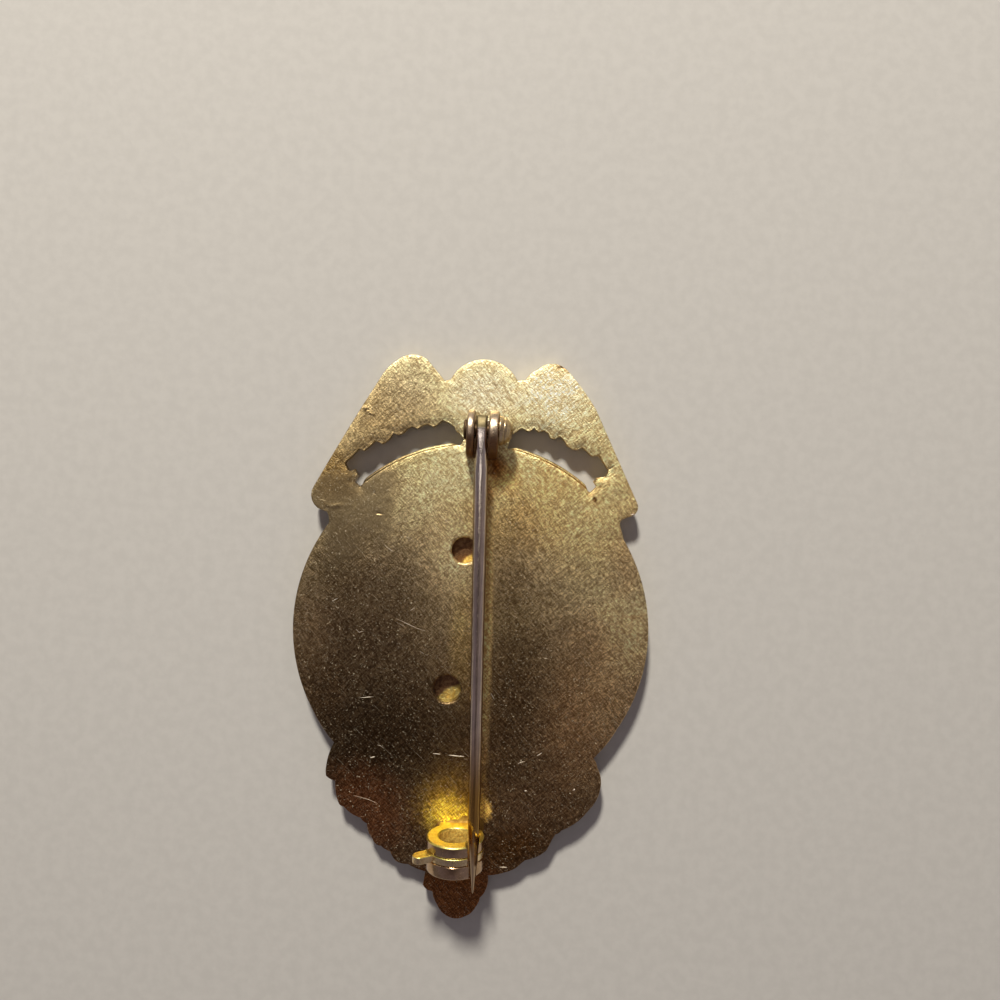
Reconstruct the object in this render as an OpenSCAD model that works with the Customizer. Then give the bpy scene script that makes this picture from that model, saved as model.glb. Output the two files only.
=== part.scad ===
// Gilt breast badge with spread wings, lying on its face with the pin side up.
// The frame: X across the badge, Y towards the wings, Z up from the surface that it lies on.

/* [Plate] */
// Radius of the round body
body_r = 22.15; // [21.8:0.05:22.4]
// Thickness of the struck plate
plate_t = 1.25; // [1.1:0.05:1.5]
// Radius that the plate is bent to across its width
bend_r = 300; // [200:20:600]
// Width of the raised rim round the body
rim_w = 1.2; // [0.8:0.1:1.6]
// Height of the rims and leaves on the face
rim_h = 0.5; // [0.3:0.05:0.6]
// Height of the flat ribbons and long feathers on the face
ribbon_h = 0.35; // [0.2:0.05:0.45]
// Height of the shoulder feathers and the crest on the face
crest_h = 0.7; // [0.55:0.05:0.8]
// Radius of the arc under the wing windows
window_arc_r = 21.2; // [21:0.05:21.3]
// Lip of the front layer that shows past the back layer in the windows
window_lip = 0.4; // [0.2:0.05:0.5]

/* [Centre seal] */
// Radius of the round seal on the face
seal_r = 11.8; // [11.5:0.1:12.2]
// Thickness of the seal over its rim
seal_t = 0.9; // [0.8:0.05:1.2]
// Width of the seal's rim
seal_rim_w = 0.9; // [0.6:0.1:1.2]
// How far the seal's rim stands proud of its field
seal_rim_h = 0.35; // [0.2:0.05:0.4]
// Radius of the star's points
star_r = 7.2; // [5:0.1:8]
// Radius of the upper round hole through the plate's back
upper_hole_r = 1.65; // [1.4:0.05:1.8]
// Radius of the lower round hole through the plate's back
lower_hole_r = 1.75; // [1.4:0.05:1.9]

/* [Hinge] */
// Radius of the ears' round tops
ear_r = 3.0; // [2.8:0.05:3.2]
// Height of the ears above the plate
ear_h = 4.6; // [4.5:0.05:5]
// Thickness of the left ear
ear_left_t = 0.9; // [0.8:0.05:1.2]
// Thickness of the right ear
ear_right_t = 1.2; // [1.1:0.05:1.5]
// Gap between the ears
ear_gap = 1.78; // [1.78:0.01:1.9]
// How far the middle of the ears lies from the rivet, towards the catch
ear_shift = 0.4; // [0:0.05:0.5]
// Height of the rivet's axis above the plate
rivet_h = 2.9; // [2.8:0.05:3]
// Radius of the rivet's shank
rivet_r = 0.65; // [0.55:0.01:0.75]
// Radius of the rivet's domed head
rivet_head_r = 1.85; // [1.6:0.05:2]
// Height of the rivet's domed head
rivet_head_h = 1.7; // [1.4:0.05:1.8]

/* [Pin] */
// Diameter of the pin's stem at the hinge
pin_d = 1.5; // [1.3:0.02:1.5]
// Radius of the pin's round eye
eye_r = 1.85; // [1.6:0.05:2]
// Angle that the pin leans to the right on its way down
pin_lean = 1.95; // [1.8:0.05:2.1]
// Length of the stem from the rivet to the start of its point
stem_l = 47.6; // [47.2:0.1:47.8]
// Length of the point
point_l = 8.4; // [8:0.1:8.6]

/* [Catch] */
// Outer radius of the catch's two flanges
flange_r = 3.5; // [3.4:0.05:3.6]
// Radius of the catch's bore
bore_r = 2.0; // [1.8:0.05:2.1]
// Height of the catch's axis above the plate
catch_h = 3.7; // [3.65:0.05:3.8]
// Clearance on each side of the pin in the slot that lets it in
slot_gap = 0.07; // [0.05:0.01:0.12]
// Length of the front flange
front_l = 1.35; // [1.2:0.05:1.5]
// Length of the locking rotor
rotor_l = 0.85; // [0.8:0.05:1.1]
// Length of the rear flange
rear_l = 1.5; // [1.3:0.05:1.6]
// Reach of the rotor's lug from the catch's axis
lug_reach = 5.5; // [5.2:0.05:5.8]
// Thickness of the rotor's lug
lug_t = 1.7; // [1.4:0.05:1.8]
// Angle of the lug, up from the right-hand side
lug_angle = 151; // [145:1:155]

/* [Hidden] */

$fn = 96;
gilt = "#b08d4f";
bright_gilt = "#d1a742";
polished = "#8a7d6c";

// Running clearance between pieces
gap = 0.05;
// How far pieces of one solid sink into each other
sink = 0.3;
// Length of every cutting shape past what it cuts
past = 1;

// Heights: the seal's rim stands on z = 0, and the plate lies on the seal
seat_z = seal_t + gap;
back_z = seat_z + plate_t;
bend_axis_z = back_z + bend_r;
front_r = bend_r + plate_t;
half_t = plate_t / 2;
tall = 8;

// Centres of the body, the arc under the windows and the seal
body_c = [0, 1.3];
window_c = [0, 3.2];
seal_c = [0, 1.8];
crest_c = [0, 30.4];
upper_hole = [-1.3, 11.05];
lower_hole = [-2.6, -6.45];

// Outlines, counter-clockwise. Each row is [x, y, bow]: bow is how far the stretch to the next row bulges outwards.
wings_edge = [
    [18.9, 12.6, -0.05],
    [18.3, 14.2, 0],
    [17.95, 15.2, -0.15],
    [18.3, 16.05, 0],
    [19.45, 16.5, 0.3],
    [20.0, 18.0, 0],
    [14.2, 29.6, 0.15],
    [10.3, 34.4, 0.75],
    [6.6, 34.2, 0.15],
    [5.2, 32.8, 0],
    [4.2, 32.7, 2.6],
    [-4.2, 32.4, 0],
    [-4.9, 32.2, 0],
    [-7.3, 34.8, 0.5],
    [-10.6, 34.75, 0.25],
    [-13.0, 32.1, 0.1],
    [-20.5, 18.1, 0.55],
    [-19.9, 15.4, 0],
    [-18.7, 14.95, -0.4],
    [-18.9, 12.6, 0],
    [0, 8, 0]
];
leaves_edge = [
    [-18.9, -10.3, 0.15],
    [-16.35, -13.8, 0.15],
    [-17.15, -16.8, 0.05],
    [-17.1, -18.0, 0.1],
    [-15.95, -18.6, 0.15],
    [-15.35, -21.4, 0.1],
    [-14.7, -21.8, 0.2],
    [-12.5, -23.15, 0.1],
    [-11.7, -23.8, 0.2],
    [-10.9, -25.7, 0.25],
    [-9.8, -26.55, 0.1],
    [-8.6, -27.2, 0.1],
    [-7.8, -28.4, 0.1],
    [-6.3, -28.7, 0.1],
    [-4.1, -29.5, 0],
    [-4.3, -31.2, 0.2],
    [-3.1, -31.95, 0.1],
    [-2.4, -33.6, 0.15],
    [-1.2, -34.9, 0.35],
    [1.2, -34.9, 0.2],
    [2.5, -33.6, 0.1],
    [2.95, -32.45, 0.15],
    [3.8, -30.9, 0.1],
    [3.75, -29.6, 0.1],
    [5.9, -29.1, 0.2],
    [7.9, -27.85, 0],
    [8.4, -27.4, 0.2],
    [10.9, -26.1, 0.05],
    [11.6, -24.6, 0],
    [12.0, -23.9, 0.1],
    [12.7, -23.4, 0.3],
    [15.9, -20.7, 0.3],
    [17.3, -17.6, 0.2],
    [16.8, -15.3, 0.1],
    [16.2, -14.1, 0.15],
    [18.9, -10.3, 0]
];
left_window_edge = [
    [-2.5, 24.3, 0],
    [-2.1, 24.95, 0.1],
    [-3.2, 26.0, 0],
    [-3.5, 26.55, 0.1],
    [-4.7, 27.2, -0.1],
    [-5.6, 26.55, -0.1],
    [-7.2, 26.65, 0],
    [-8.8, 26.2, -0.1],
    [-9.8, 25.25, 0],
    [-10.9, 25.25, -0.15],
    [-12.5, 24.05, 0],
    [-13.7, 24.05, -0.1],
    [-15.3, 22.95, -0.1],
    [-16.8, 21.2, 0.05],
    [-16.3, 20.25, 0.1],
    [-15.55, 20.55, 0],
    [-15.2, 19.75, 0],
    [-15.55, 18.95, 0],
    [-14.8, 18.3, 0],
    [-8.0, 18.0, 0]
];
right_window_edge = [
    [8.0, 18.0, 0],
    [13.5, 19.3, 0.1],
    [14.4, 19.55, 0],
    [14.8, 20.05, 0],
    [14.6, 20.85, 0],
    [16.0, 21.75, 0.1],
    [15.4, 22.85, 0],
    [15.0, 23.75, -0.1],
    [13.95, 23.85, 0],
    [12.7, 24.65, -0.1],
    [11.55, 24.65, 0],
    [10.6, 25.15, -0.1],
    [9.9, 25.85, 0],
    [9.2, 25.75, -0.1],
    [7.9, 26.65, -0.1],
    [6.55, 26.85, -0.1],
    [5.3, 26.75, 0],
    [3.95, 25.85, 0],
    [3.3, 23.9, 0]
];

// Leaves on the face: [x, y, angle of the tip, length, width]
leaves = [
    [14.6, -16.6, -62, 8.0, 3.4],
    [11.2, -20.8, -50, 7.6, 3.4],
    [7.2, -24.6, -62, 7.2, 3.2],
    [2.9, -27.4, -78, 6.4, 2.8]
];

// Hinge: the middle of its gap, and the faces of its ears
hinge_c = [0.12, 26.0];
left_face = hinge_c.x - ear_gap / 2;
right_face = hinge_c.x + ear_gap / 2;
rivet_z = back_z + rivet_h;

// Catch: its axis leans with the pin, and the pin lies to the right of that axis
pin_offset = 2.2;
catch_y = -24.85;
pin_run = hinge_c.y - catch_y;
catch_c = [hinge_c.x + pin_run * tan(pin_lean) - pin_offset, catch_y];
catch_z = back_z + catch_h;
pin_rise = atan((catch_h - rivet_h) / pin_run);
front_y = gap + rotor_l / 2;
front_end = front_y + front_l;
rear_end = -front_y - rear_l;
rotor_r = flange_r - gap;
core_r = 2.8;
foot_w = 4.4;
foot_top = 2.1;
point_tip_r = 0.08;

// Radius of the pin where it lies in the catch, at y along the catch's axis
function pin_r(y) =
    let (along = pin_run / cos(pin_lean) - y - stem_l)
    pin_d / 2 - max(0, along) * (pin_d / 2 - point_tip_r) / point_l;

// Points of an arc from a to b that bows outwards by bow
function bowed(a, b, bow, steps) =
    bow == 0 ? [a] :
    let (
        half = norm(b - a) / 2,
        r = (half * half + bow * bow) / (2 * bow),
        outward = [b.y - a.y, a.x - b.x] / (2 * half),
        centre = (a + b) / 2 - outward * (r - bow),
        start = atan2(a.y - centre.y, a.x - centre.x),
        sweep = 2 * asin(half / r)
    )
    [for (i = [0:steps - 1])
        centre + abs(r) * [cos(start + sweep * i / steps), sin(start + sweep * i / steps)]];

// All points of an outline table, with steps points on each bowed stretch
function outline(edge, steps) = [
    for (i = [0:len(edge) - 1])
        let (
            a = edge[i],
            b = edge[(i + 1) % len(edge)]
        )
        each bowed([a.x, a.y], [b.x, b.y], a.z, abs(a.z) > 1 ? 4 * steps : steps)
];

// Points of a ring's sector between two radii and two angles
function sector(r_in, r_out, from, to, steps) = concat(
    [for (i = [0:steps]) r_out * [cos(from + (to - from) * i / steps), sin(from + (to - from) * i / steps)]],
    [for (i = [steps:-1:0]) r_in * [cos(from + (to - from) * i / steps), sin(from + (to - from) * i / steps)]]
);

// A cylinder along Y, from y0 to y1
module along_y(r, y0, y1) {
    translate([0, y1, 0]) rotate([90, 0, 0]) cylinder(r = r, h = y1 - y0);
}

// A cylinder along X, from x0 to x1
module along_x(r, x0, x1) {
    translate([x0, 0, 0]) rotate([0, 90, 0]) cylinder(r = r, h = x1 - x0);
}

// A layer of the bent plate between two bend radii
module bent_layer(r_in, r_out) {
    translate([0, 0, bend_axis_z]) difference() {
        rotate([90, 0, 0]) cylinder(r = r_out, h = 90, center = true, $fn = 720);
        rotate([90, 0, 0]) cylinder(r = r_in, h = 92, center = true, $fn = 720);
    }
}

// A flat shape taken through the bent layer between two bend radii
module in_layer(r_in, r_out) {
    intersection() {
        translate([0, 0, -past]) linear_extrude(tall) children();
        bent_layer(r_in, r_out);
    }
}

// The body and the arc under the windows, which a lip can widen
module body_shape(lip) {
    translate(body_c) circle(r = body_r, $fn = 180);
    translate(window_c) circle(r = window_arc_r + lip, $fn = 180);
}

// The windows between the wings and the body
module windows_shape(lip) {
    difference() {
        union() {
            polygon(outline(left_window_edge, 3));
            polygon(outline(right_window_edge, 3));
        }
        translate(window_c) circle(r = window_arc_r + lip, $fn = 180);
    }
}

// The whole badge's outline with its windows
module badge_shape(lip) {
    difference() {
        union() {
            body_shape(0);
            polygon(outline(wings_edge, 4));
            polygon(outline(leaves_edge, 4));
        }
        windows_shape(lip);
    }
}

// A leaf between two arcs
module leaf_shape(l, w) {
    r = (l * l + w * w) / (4 * w);
    intersection() {
        translate([0, r - w / 2]) circle(r = r);
        translate([0, w / 2 - r]) circle(r = r);
    }
}

// One row of feathers that fan out from the body, with round tips at tip_r
module feathers_shape(tip_r, w, from, to, count) {
    for (i = [0:count - 1])
        translate(window_c) rotate(from + (to - from) * i / (count - 1)) {
            translate([tip_r + w / 2, 0]) circle(r = w / 2, $fn = 24);
            translate([tip_r + w / 2, -w / 2]) square([18, w]);
        }
}

// The same row of feathers on both wings
module feather_rows(tip_r, w, from, to, count) {
    intersection() {
        badge_shape(window_lip);
        union() {
            feathers_shape(tip_r, w, from, to, count);
            feathers_shape(tip_r, w, 180 - to, 180 - from, count);
        }
    }
}

// Flat ribbon panels round the seal
module ribbons_shape() {
    translate(seal_c) {
        polygon(sector(14.9, 18.9, 32, 148, 36));
        polygon(sector(14.9, 18.9, 212, 328, 36));
    }
}

// Rims of the body and of the seal's seat
module rims_shape() {
    difference() {
        intersection() {
            body_shape(window_lip);
            badge_shape(window_lip);
        }
        translate(body_c) circle(r = body_r - rim_w, $fn = 180);
        translate(window_c) circle(r = window_arc_r + window_lip - rim_w, $fn = 180);
    }
    translate(seal_c) difference() {
        circle(r = seal_r + 1.9);
        circle(r = seal_r + 1.0);
    }
}

// Leaves at the foot of the badge, the same on both sides, and the bud at its tip
module leaves_shape() {
    intersection() {
        badge_shape(window_lip);
        union() {
            for (leaf = leaves, side = [1, -1])
                scale([side, 1, 1])
                    translate([leaf[0], leaf[1]]) rotate(leaf[2]) leaf_shape(leaf[3], leaf[4]);
            translate([0, -32]) rotate(-90) leaf_shape(5.6, 3.2);
        }
    }
}

// The struck front of the plate
module front_relief() {
    in_layer(front_r - sink, front_r + ribbon_h) {
        ribbons_shape();
        feather_rows(25.6, 1.75, 36, 80, 10);
    }
    in_layer(front_r - sink, front_r + rim_h) {
        rims_shape();
        leaves_shape();
        feather_rows(28.2, 1.9, 41, 77, 8);
    }
    in_layer(front_r - sink, front_r + crest_h) {
        translate(crest_c) circle(r = 3.4);
        feather_rows(30.8, 2.3, 49, 74, 5);
    }
}

// The plate in two layers, with the flat seat that the seal lies on
module plate_body() {
    in_layer(bend_r, bend_r + half_t) badge_shape(0);
    in_layer(bend_r + half_t, front_r) badge_shape(window_lip);
    translate([seal_c.x, seal_c.y, seat_z]) cylinder(r = seal_r + 0.6, h = plate_t - 0.2);
}

// One round-topped ear, from x0 to x1, standing on the plate
module ear(x0, x1) {
    translate([x0, hinge_c.y - ear_shift, back_z]) rotate([90, 0, 90]) linear_extrude(x1 - x0) {
        translate([-ear_r, -sink]) square([2 * ear_r, ear_h - ear_r + sink]);
        translate([0, ear_h - ear_r]) circle(r = ear_r);
    }
}

// The soldered hinge bracket, without the holes for the rivet
module hinge_bracket() {
    strap_t = 0.45;
    ear(left_face - ear_left_t, left_face);
    ear(right_face, right_face + ear_right_t);
    translate([left_face - past / 2, hinge_c.y - ear_shift - ear_r, back_z - sink])
        cube([ear_gap + past, 2 * ear_r, strap_t + sink]);
}

// Puts a shape made round the catch's axis in its place
module at_catch() {
    translate([catch_c.x, catch_c.y, catch_z]) rotate([0, 0, pin_lean]) children();
}

// The slot above the pin and its round seat, from y0 to y1, as wide as the pin needs at seat_y
module pin_slot(y0, y1, seat_y) {
    r = pin_r(seat_y) + slot_gap;
    translate([pin_offset - r, y0, 0]) cube([2 * r, y1 - y0, 2 * flange_r]);
    translate([pin_offset, 0, 0]) along_y(r, y0, y1);
}

// The soldered catch: two flanges on a core that the rotor turns on, and a foot
module catch_body() {
    at_catch() difference() {
        union() {
            along_y(flange_r, front_y, front_end);
            along_y(flange_r, rear_end, -front_y);
            along_y(core_r, rear_end, front_end);
            translate([-foot_w / 2, rear_end, -catch_h - sink])
                cube([foot_w, front_end - rear_end, catch_h + sink - foot_top]);
        }
        along_y(bore_r, rear_end - past, front_end + past);
        pin_slot(front_y, front_end + past, front_end);
        pin_slot(-front_y - gap, front_y + gap, rotor_l / 2);
        pin_slot(rear_end - past, -front_y, -front_y);
        difference() {
            along_y(flange_r, -front_y, front_y);
            along_y(core_r, -front_y, front_y);
        }
    }
}

module badge_plate() {
    color(gilt) difference() {
        union() {
            plate_body();
            front_relief();
            hinge_bracket();
            catch_body();
        }
        translate([upper_hole.x, upper_hole.y, 0]) cylinder(r = upper_hole_r, h = tall);
        translate([lower_hole.x, lower_hole.y, 0]) cylinder(r = lower_hole_r, h = tall);
        translate([0, hinge_c.y, rivet_z]) along_x(rivet_r + gap, -tall, tall);
    }
}

// The round seal on the face: rim, star and a ring of rays on a sunk field
module centre_seal() {
    inner_r = star_r * 0.4;
    rays = 24;
    color(bright_gilt) translate([seal_c.x, seal_c.y, 0]) {
        translate([0, 0, seal_rim_h]) cylinder(r = seal_r, h = seal_t - seal_rim_h);
        difference() {
            cylinder(r = seal_r, h = seal_t);
            translate([0, 0, -past]) cylinder(r = seal_r - seal_rim_w, h = seal_rim_h + past);
        }
        translate([0, 0, 0.1]) linear_extrude(seal_t / 2) {
            polygon([for (i = [0:9]) (i % 2 == 0 ? star_r : inner_r) * [sin(36 * i), cos(36 * i)]]);
            for (i = [0:rays - 1])
                rotate(i * 360 / rays) translate([star_r + 0.8, -0.3]) square([2.0, 0.6]);
        }
    }
}

// The rivet across the hinge, turned about X: flat peened end on the left, domed head on the right
module hinge_rivet() {
    tail_r = 1.25;
    tail_t = 0.35;
    tail_x = left_face - ear_left_t - gap;
    shank_l = right_face + ear_right_t + gap - tail_x;
    dome_r = (rivet_head_r * rivet_head_r + rivet_head_h * rivet_head_h) / (2 * rivet_head_h);
    color(polished) translate([tail_x, hinge_c.y, rivet_z]) rotate([0, 90, 0]) rotate_extrude() {
        translate([0, -tail_t]) square([tail_r, tail_t]);
        translate([0, -tail_t / 2]) square([rivet_r, shank_l + tail_t]);
        intersection() {
            translate([0, shank_l + rivet_head_h - dome_r]) circle(r = dome_r);
            translate([0, shank_l]) square(2 * rivet_head_r);
        }
    }
}

// The pin: flat round eye, straight stem and long point
module pin() {
    eye_w = ear_gap - 2 * gap;
    stem_r = pin_d / 2;
    color(polished) translate([hinge_c.x, hinge_c.y, rivet_z]) difference() {
        union() {
            along_x(eye_r, -eye_w / 2, eye_w / 2);
            rotate([0, 0, pin_lean]) rotate([-pin_rise, 0, 0]) rotate([90, 0, 0]) {
                cylinder(r = stem_r, h = stem_l);
                translate([0, 0, stem_l]) cylinder(r1 = stem_r, r2 = point_tip_r, h = point_l);
            }
        }
        along_x(rivet_r + gap, -tall, tall);
    }
}

// The locking rotor: a band that turns on the catch's core, with a slot and a lug
module catch_rotor() {
    half_l = rotor_l / 2;
    lug_end = lug_reach - lug_t / 2;
    color(bright_gilt) at_catch() difference() {
        union() {
            along_y(rotor_r, -half_l, half_l);
            rotate([0, -lug_angle, 0]) {
                translate([core_r + 0.3, -half_l, -lug_t / 2]) cube([lug_end - core_r - 0.3, rotor_l, lug_t]);
                translate([lug_end, 0, 0]) along_y(lug_t / 2, -half_l, half_l);
            }
        }
        along_y(core_r + gap, -rotor_l, rotor_l);
        pin_slot(-rotor_l, rotor_l, half_l);
    }
}

badge_plate();
centre_seal();
hinge_rivet();
pin();
catch_rotor();
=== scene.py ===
import math

import bpy
import numpy as np
from mathutils import Matrix, Vector, geometry, kdtree, noise

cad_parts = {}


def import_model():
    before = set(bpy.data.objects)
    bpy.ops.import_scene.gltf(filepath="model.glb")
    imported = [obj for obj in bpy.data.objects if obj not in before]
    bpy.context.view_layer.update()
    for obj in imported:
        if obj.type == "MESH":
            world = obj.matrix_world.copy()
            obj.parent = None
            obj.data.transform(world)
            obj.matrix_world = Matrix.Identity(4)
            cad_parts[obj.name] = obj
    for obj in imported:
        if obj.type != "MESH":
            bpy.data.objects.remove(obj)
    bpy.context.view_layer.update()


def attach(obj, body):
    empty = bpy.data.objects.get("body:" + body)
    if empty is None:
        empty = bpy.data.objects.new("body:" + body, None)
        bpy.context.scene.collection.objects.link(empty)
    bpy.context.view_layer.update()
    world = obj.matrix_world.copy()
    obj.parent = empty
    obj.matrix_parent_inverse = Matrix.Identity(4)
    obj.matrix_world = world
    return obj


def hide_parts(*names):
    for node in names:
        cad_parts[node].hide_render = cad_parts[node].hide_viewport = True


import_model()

# Sizes in millimetres, in the frame of the part: X across the badge, Y towards the wings, Z up
MM = 0.001
body_c = (0.0, 1.3)
body_r = 22.15
window_c = (0.0, 3.2)
window_arc_r = 21.2
window_lip = 0.4
seal_c = (0.0, 1.8)
seal_r = 11.8
seal_t = 0.9
seal_rim_w = 0.9
seal_rim_h = 0.35
star_r = 7.2
star_valley = 0.4
star_h = 0.25
star_slope = 1.1
rays = 24
ray_half_w = 0.32
ray_half_l = 1.05
ray_r = star_r + 1.8
crest_c = (0.0, 30.4)
crest_r = 3.4
crest_ring_r = 2.7
crest_boss_r = 2.3
plate_t = 1.25
seat_z = 0.95
back_z = seat_z + plate_t
bend_r = 300.0
bend_axis_z = back_z + bend_r
front_r = bend_r + plate_t
rim_w = 1.2
rim_h = 0.5
ribbon_h = 0.35
ribbon_r = 16.9
ribbon_half_w = 2.0
ribbon_half_deg = 58
ribbon_edge_w = 0.55
ribbon_slope = 0.2
relief_slope = 0.32
# Ring round the seal: how far its edges lie beyond the seal's, and how far the sunk seat reaches
seal_ring = (1.0, 1.9)
seat_gap = 0.6
# The face stays this far over the floor
face_low = 0.03
crest_h = 0.7
sink = 0.3
# Round holes through the back: x, y, radius
holes = [(-1.3, 11.05, 1.65), (-2.6, -6.45, 1.75)]

hinge_c = (0.12, 26.0)
rivet_h = 2.9
rivet_z = back_z + rivet_h
ear_r = 3.0
ear_h = 4.6
ear_y = hinge_c[1] - 0.4
ear_left = (-1.67, -0.77)
ear_right = (1.01, 2.21)
rivet_r = 0.65
head_r = 1.85
head_h = 1.7
tail_r = 1.25
tail_t = 0.35

pin_r = 0.75
eye_r = 1.85
eye_half_w = 0.66
eye_crown = 1.0
pin_lean = math.radians(1.95)
stem_l = 47.6
point_l = 8.4
tip_r = 0.08

catch_y = -24.85
pin_offset = 2.2
pin_run = hinge_c[1] - catch_y
catch_c = (hinge_c[0] + pin_run * math.tan(pin_lean) - pin_offset, catch_y)
catch_h = 3.7
catch_z = back_z + catch_h
pin_rise = math.atan(0.8 / pin_run)
flange_r = 3.5
rotor_r = 3.45
core_r = 2.8
bore_r = 2.0
front_l = 1.35
rotor_l = 0.85
rear_l = 1.5
gap = 0.05
slot_gap = 0.07
foot_half = 2.2
lug_reach = 5.5
lug_t = 1.7
lug_angle = math.radians(151)

# Outlines, counter-clockwise. Each row is (x, y, bow): how far the stretch to the next row bulges outwards.
wings_edge = [
    (18.9, 12.6, -0.05), (18.3, 14.2, 0), (17.95, 15.2, -0.15), (18.3, 16.05, 0), (19.45, 16.5, 0.3),
    (20.0, 18.0, 0), (14.2, 29.6, 0.15), (10.3, 34.4, 0.75), (6.6, 34.2, 0.15), (5.2, 32.8, 0),
    (4.2, 32.7, 2.6), (-4.2, 32.4, 0), (-4.9, 32.2, 0), (-7.3, 34.8, 0.5), (-10.6, 34.75, 0.25),
    (-13.0, 32.1, 0.1), (-20.5, 18.1, 0.55), (-19.9, 15.4, 0), (-18.7, 14.95, -0.4), (-18.9, 12.6, 0),
    (0, 8, 0),
]
leaves_edge = [
    (0, -8, 0), (-18.9, -10.3, 0.15), (-16.35, -13.8, 0.15), (-17.15, -16.8, 0.05), (-17.1, -18.0, 0.1),
    (-15.95, -18.6, 0.15), (-15.35, -21.4, 0.1), (-14.7, -21.8, 0.2), (-12.5, -23.15, 0.1),
    (-11.7, -23.8, 0.2), (-10.9, -25.7, 0.25), (-9.8, -26.55, 0.1), (-8.6, -27.2, 0.1),
    (-7.8, -28.4, 0.1), (-6.3, -28.7, 0.1), (-4.1, -29.5, 0), (-4.3, -31.2, 0.2), (-3.1, -31.95, 0.1),
    (-2.4, -33.6, 0.15), (-1.2, -34.9, 0.35), (1.2, -34.9, 0.2), (2.5, -33.6, 0.1), (2.95, -32.45, 0.15),
    (3.8, -30.9, 0.1), (3.75, -29.6, 0.1), (5.9, -29.1, 0.2), (7.9, -27.85, 0), (8.4, -27.4, 0.2),
    (10.9, -26.1, 0.05), (11.6, -24.6, 0), (12.0, -23.9, 0.1), (12.7, -23.4, 0.3), (15.9, -20.7, 0.3),
    (17.3, -17.6, 0.2), (16.8, -15.3, 0.1), (16.2, -14.1, 0.15), (18.9, -10.3, 0),
]
left_window_edge = [
    (-2.5, 24.3, 0), (-2.1, 24.95, 0.1), (-3.2, 26.0, 0), (-3.5, 26.55, 0.1), (-5.0, 27.2, -0.06),
    (-6.1, 26.3, 0.07), (-6.95, 26.6, 0.07), (-8.05, 26.0, 0), (-8.75, 26.2, 0.12), (-9.65, 25.5, -0.05),
    (-10.45, 25.05, 0), (-11.05, 25.25, -0.2), (-12.4, 23.85, 0), (-13.25, 24.2, -0.08),
    (-14.6, 22.85, 0), (-15.2, 23.1, 0), (-16.25, 21.8, 0.05), (-16.8, 21.2, 0.05),
    (-16.3, 20.25, 0.1), (-15.55, 20.55, 0), (-15.2, 19.75, 0), (-15.55, 18.95, 0), (-14.8, 18.3, 0),
    (-8.0, 18.0, 0),
]
right_window_edge = [
    (8.0, 18.0, 0), (13.9, 19.05, 0.05), (14.8, 19.95, 0), (14.4, 20.55, 0.05), (14.75, 21.05, 0),
    (15.75, 21.2, 0.08), (16.2, 22.0, 0), (15.5, 23.0, 0), (14.95, 23.8, 0), (14.1, 23.7, -0.06),
    (13.3, 24.35, 0), (12.8, 24.7, 0.04), (12.3, 24.45, -0.1), (11.3, 24.6, -0.12), (10.5, 25.45, 0.04),
    (9.85, 26.0, 0), (9.35, 25.65, -0.06), (8.7, 25.75, 0), (8.45, 26.25, 0.04), (7.8, 26.65, 0),
    (7.4, 26.42, -0.03), (7.05, 26.46, 0), (6.55, 26.9, 0), (6.25, 26.55, -0.05), (5.75, 26.45, 0),
    (5.15, 26.75, 0.05), (4.65, 26.5, -0.06), (3.85, 26.0, 0), (3.3, 23.9, 0),
]
# Leaves on the face: x, y, angle of the tip, length, width
leaves = [
    (14.6, -16.6, -62, 8.0, 3.4),
    (11.2, -20.8, -50, 7.6, 3.4),
    (7.2, -24.6, -62, 7.2, 3.2),
    (2.9, -27.4, -78, 6.4, 2.8),
]
tip_leaf = (0, -32, -90, 5.6, 3.2)


def unit(vectors):
    return vectors / np.maximum(np.linalg.norm(vectors, axis=-1, keepdims=True), 1e-12)


def away_from(centre, points):
    """Distance of each point from a centre."""
    return np.linalg.norm(points - np.array(centre), axis=1)


def smooth_step(a, b, value):
    t = np.clip((value - a) / (b - a), 0, 1)
    return t * t * (3 - 2 * t)


# Outlines
def bowed(a, b, bow, steps):
    """Points of an arc from a to b that bows outwards by bow."""
    if bow == 0:
        return [a]
    half = np.linalg.norm(b - a) / 2
    r = (half * half + bow * bow) / (2 * bow)
    outward = np.array([b[1] - a[1], a[0] - b[0]]) / (2 * half)
    centre = (a + b) / 2 - outward * (r - bow)
    start = math.atan2(a[1] - centre[1], a[0] - centre[0])
    sweep = 2 * math.asin(half / r)
    turns = [start + sweep * i / steps for i in range(steps)]
    return [centre + abs(r) * np.array([math.cos(t), math.sin(t)]) for t in turns]


def outline(edge):
    rows = [np.array(row, float) for row in edge]
    points = []
    for a, b in zip(rows, rows[1:] + rows[:1]):
        points += bowed(a[:2], b[:2], a[2], 16 if abs(a[2]) > 1 else 5)
    return np.array(points)


def arc(centre, r, start, end, spacing):
    """Points of an arc from one angle to another, both ends included."""
    steps = max(2, math.ceil(abs(end - start) * r / spacing))
    turns = np.linspace(start, end, steps + 1)
    return np.c_[centre[0] + r * np.cos(turns), centre[1] + r * np.sin(turns)]


def angle_at(point, centre):
    return math.atan2(point[1] - centre[1], point[0] - centre[0])


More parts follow.
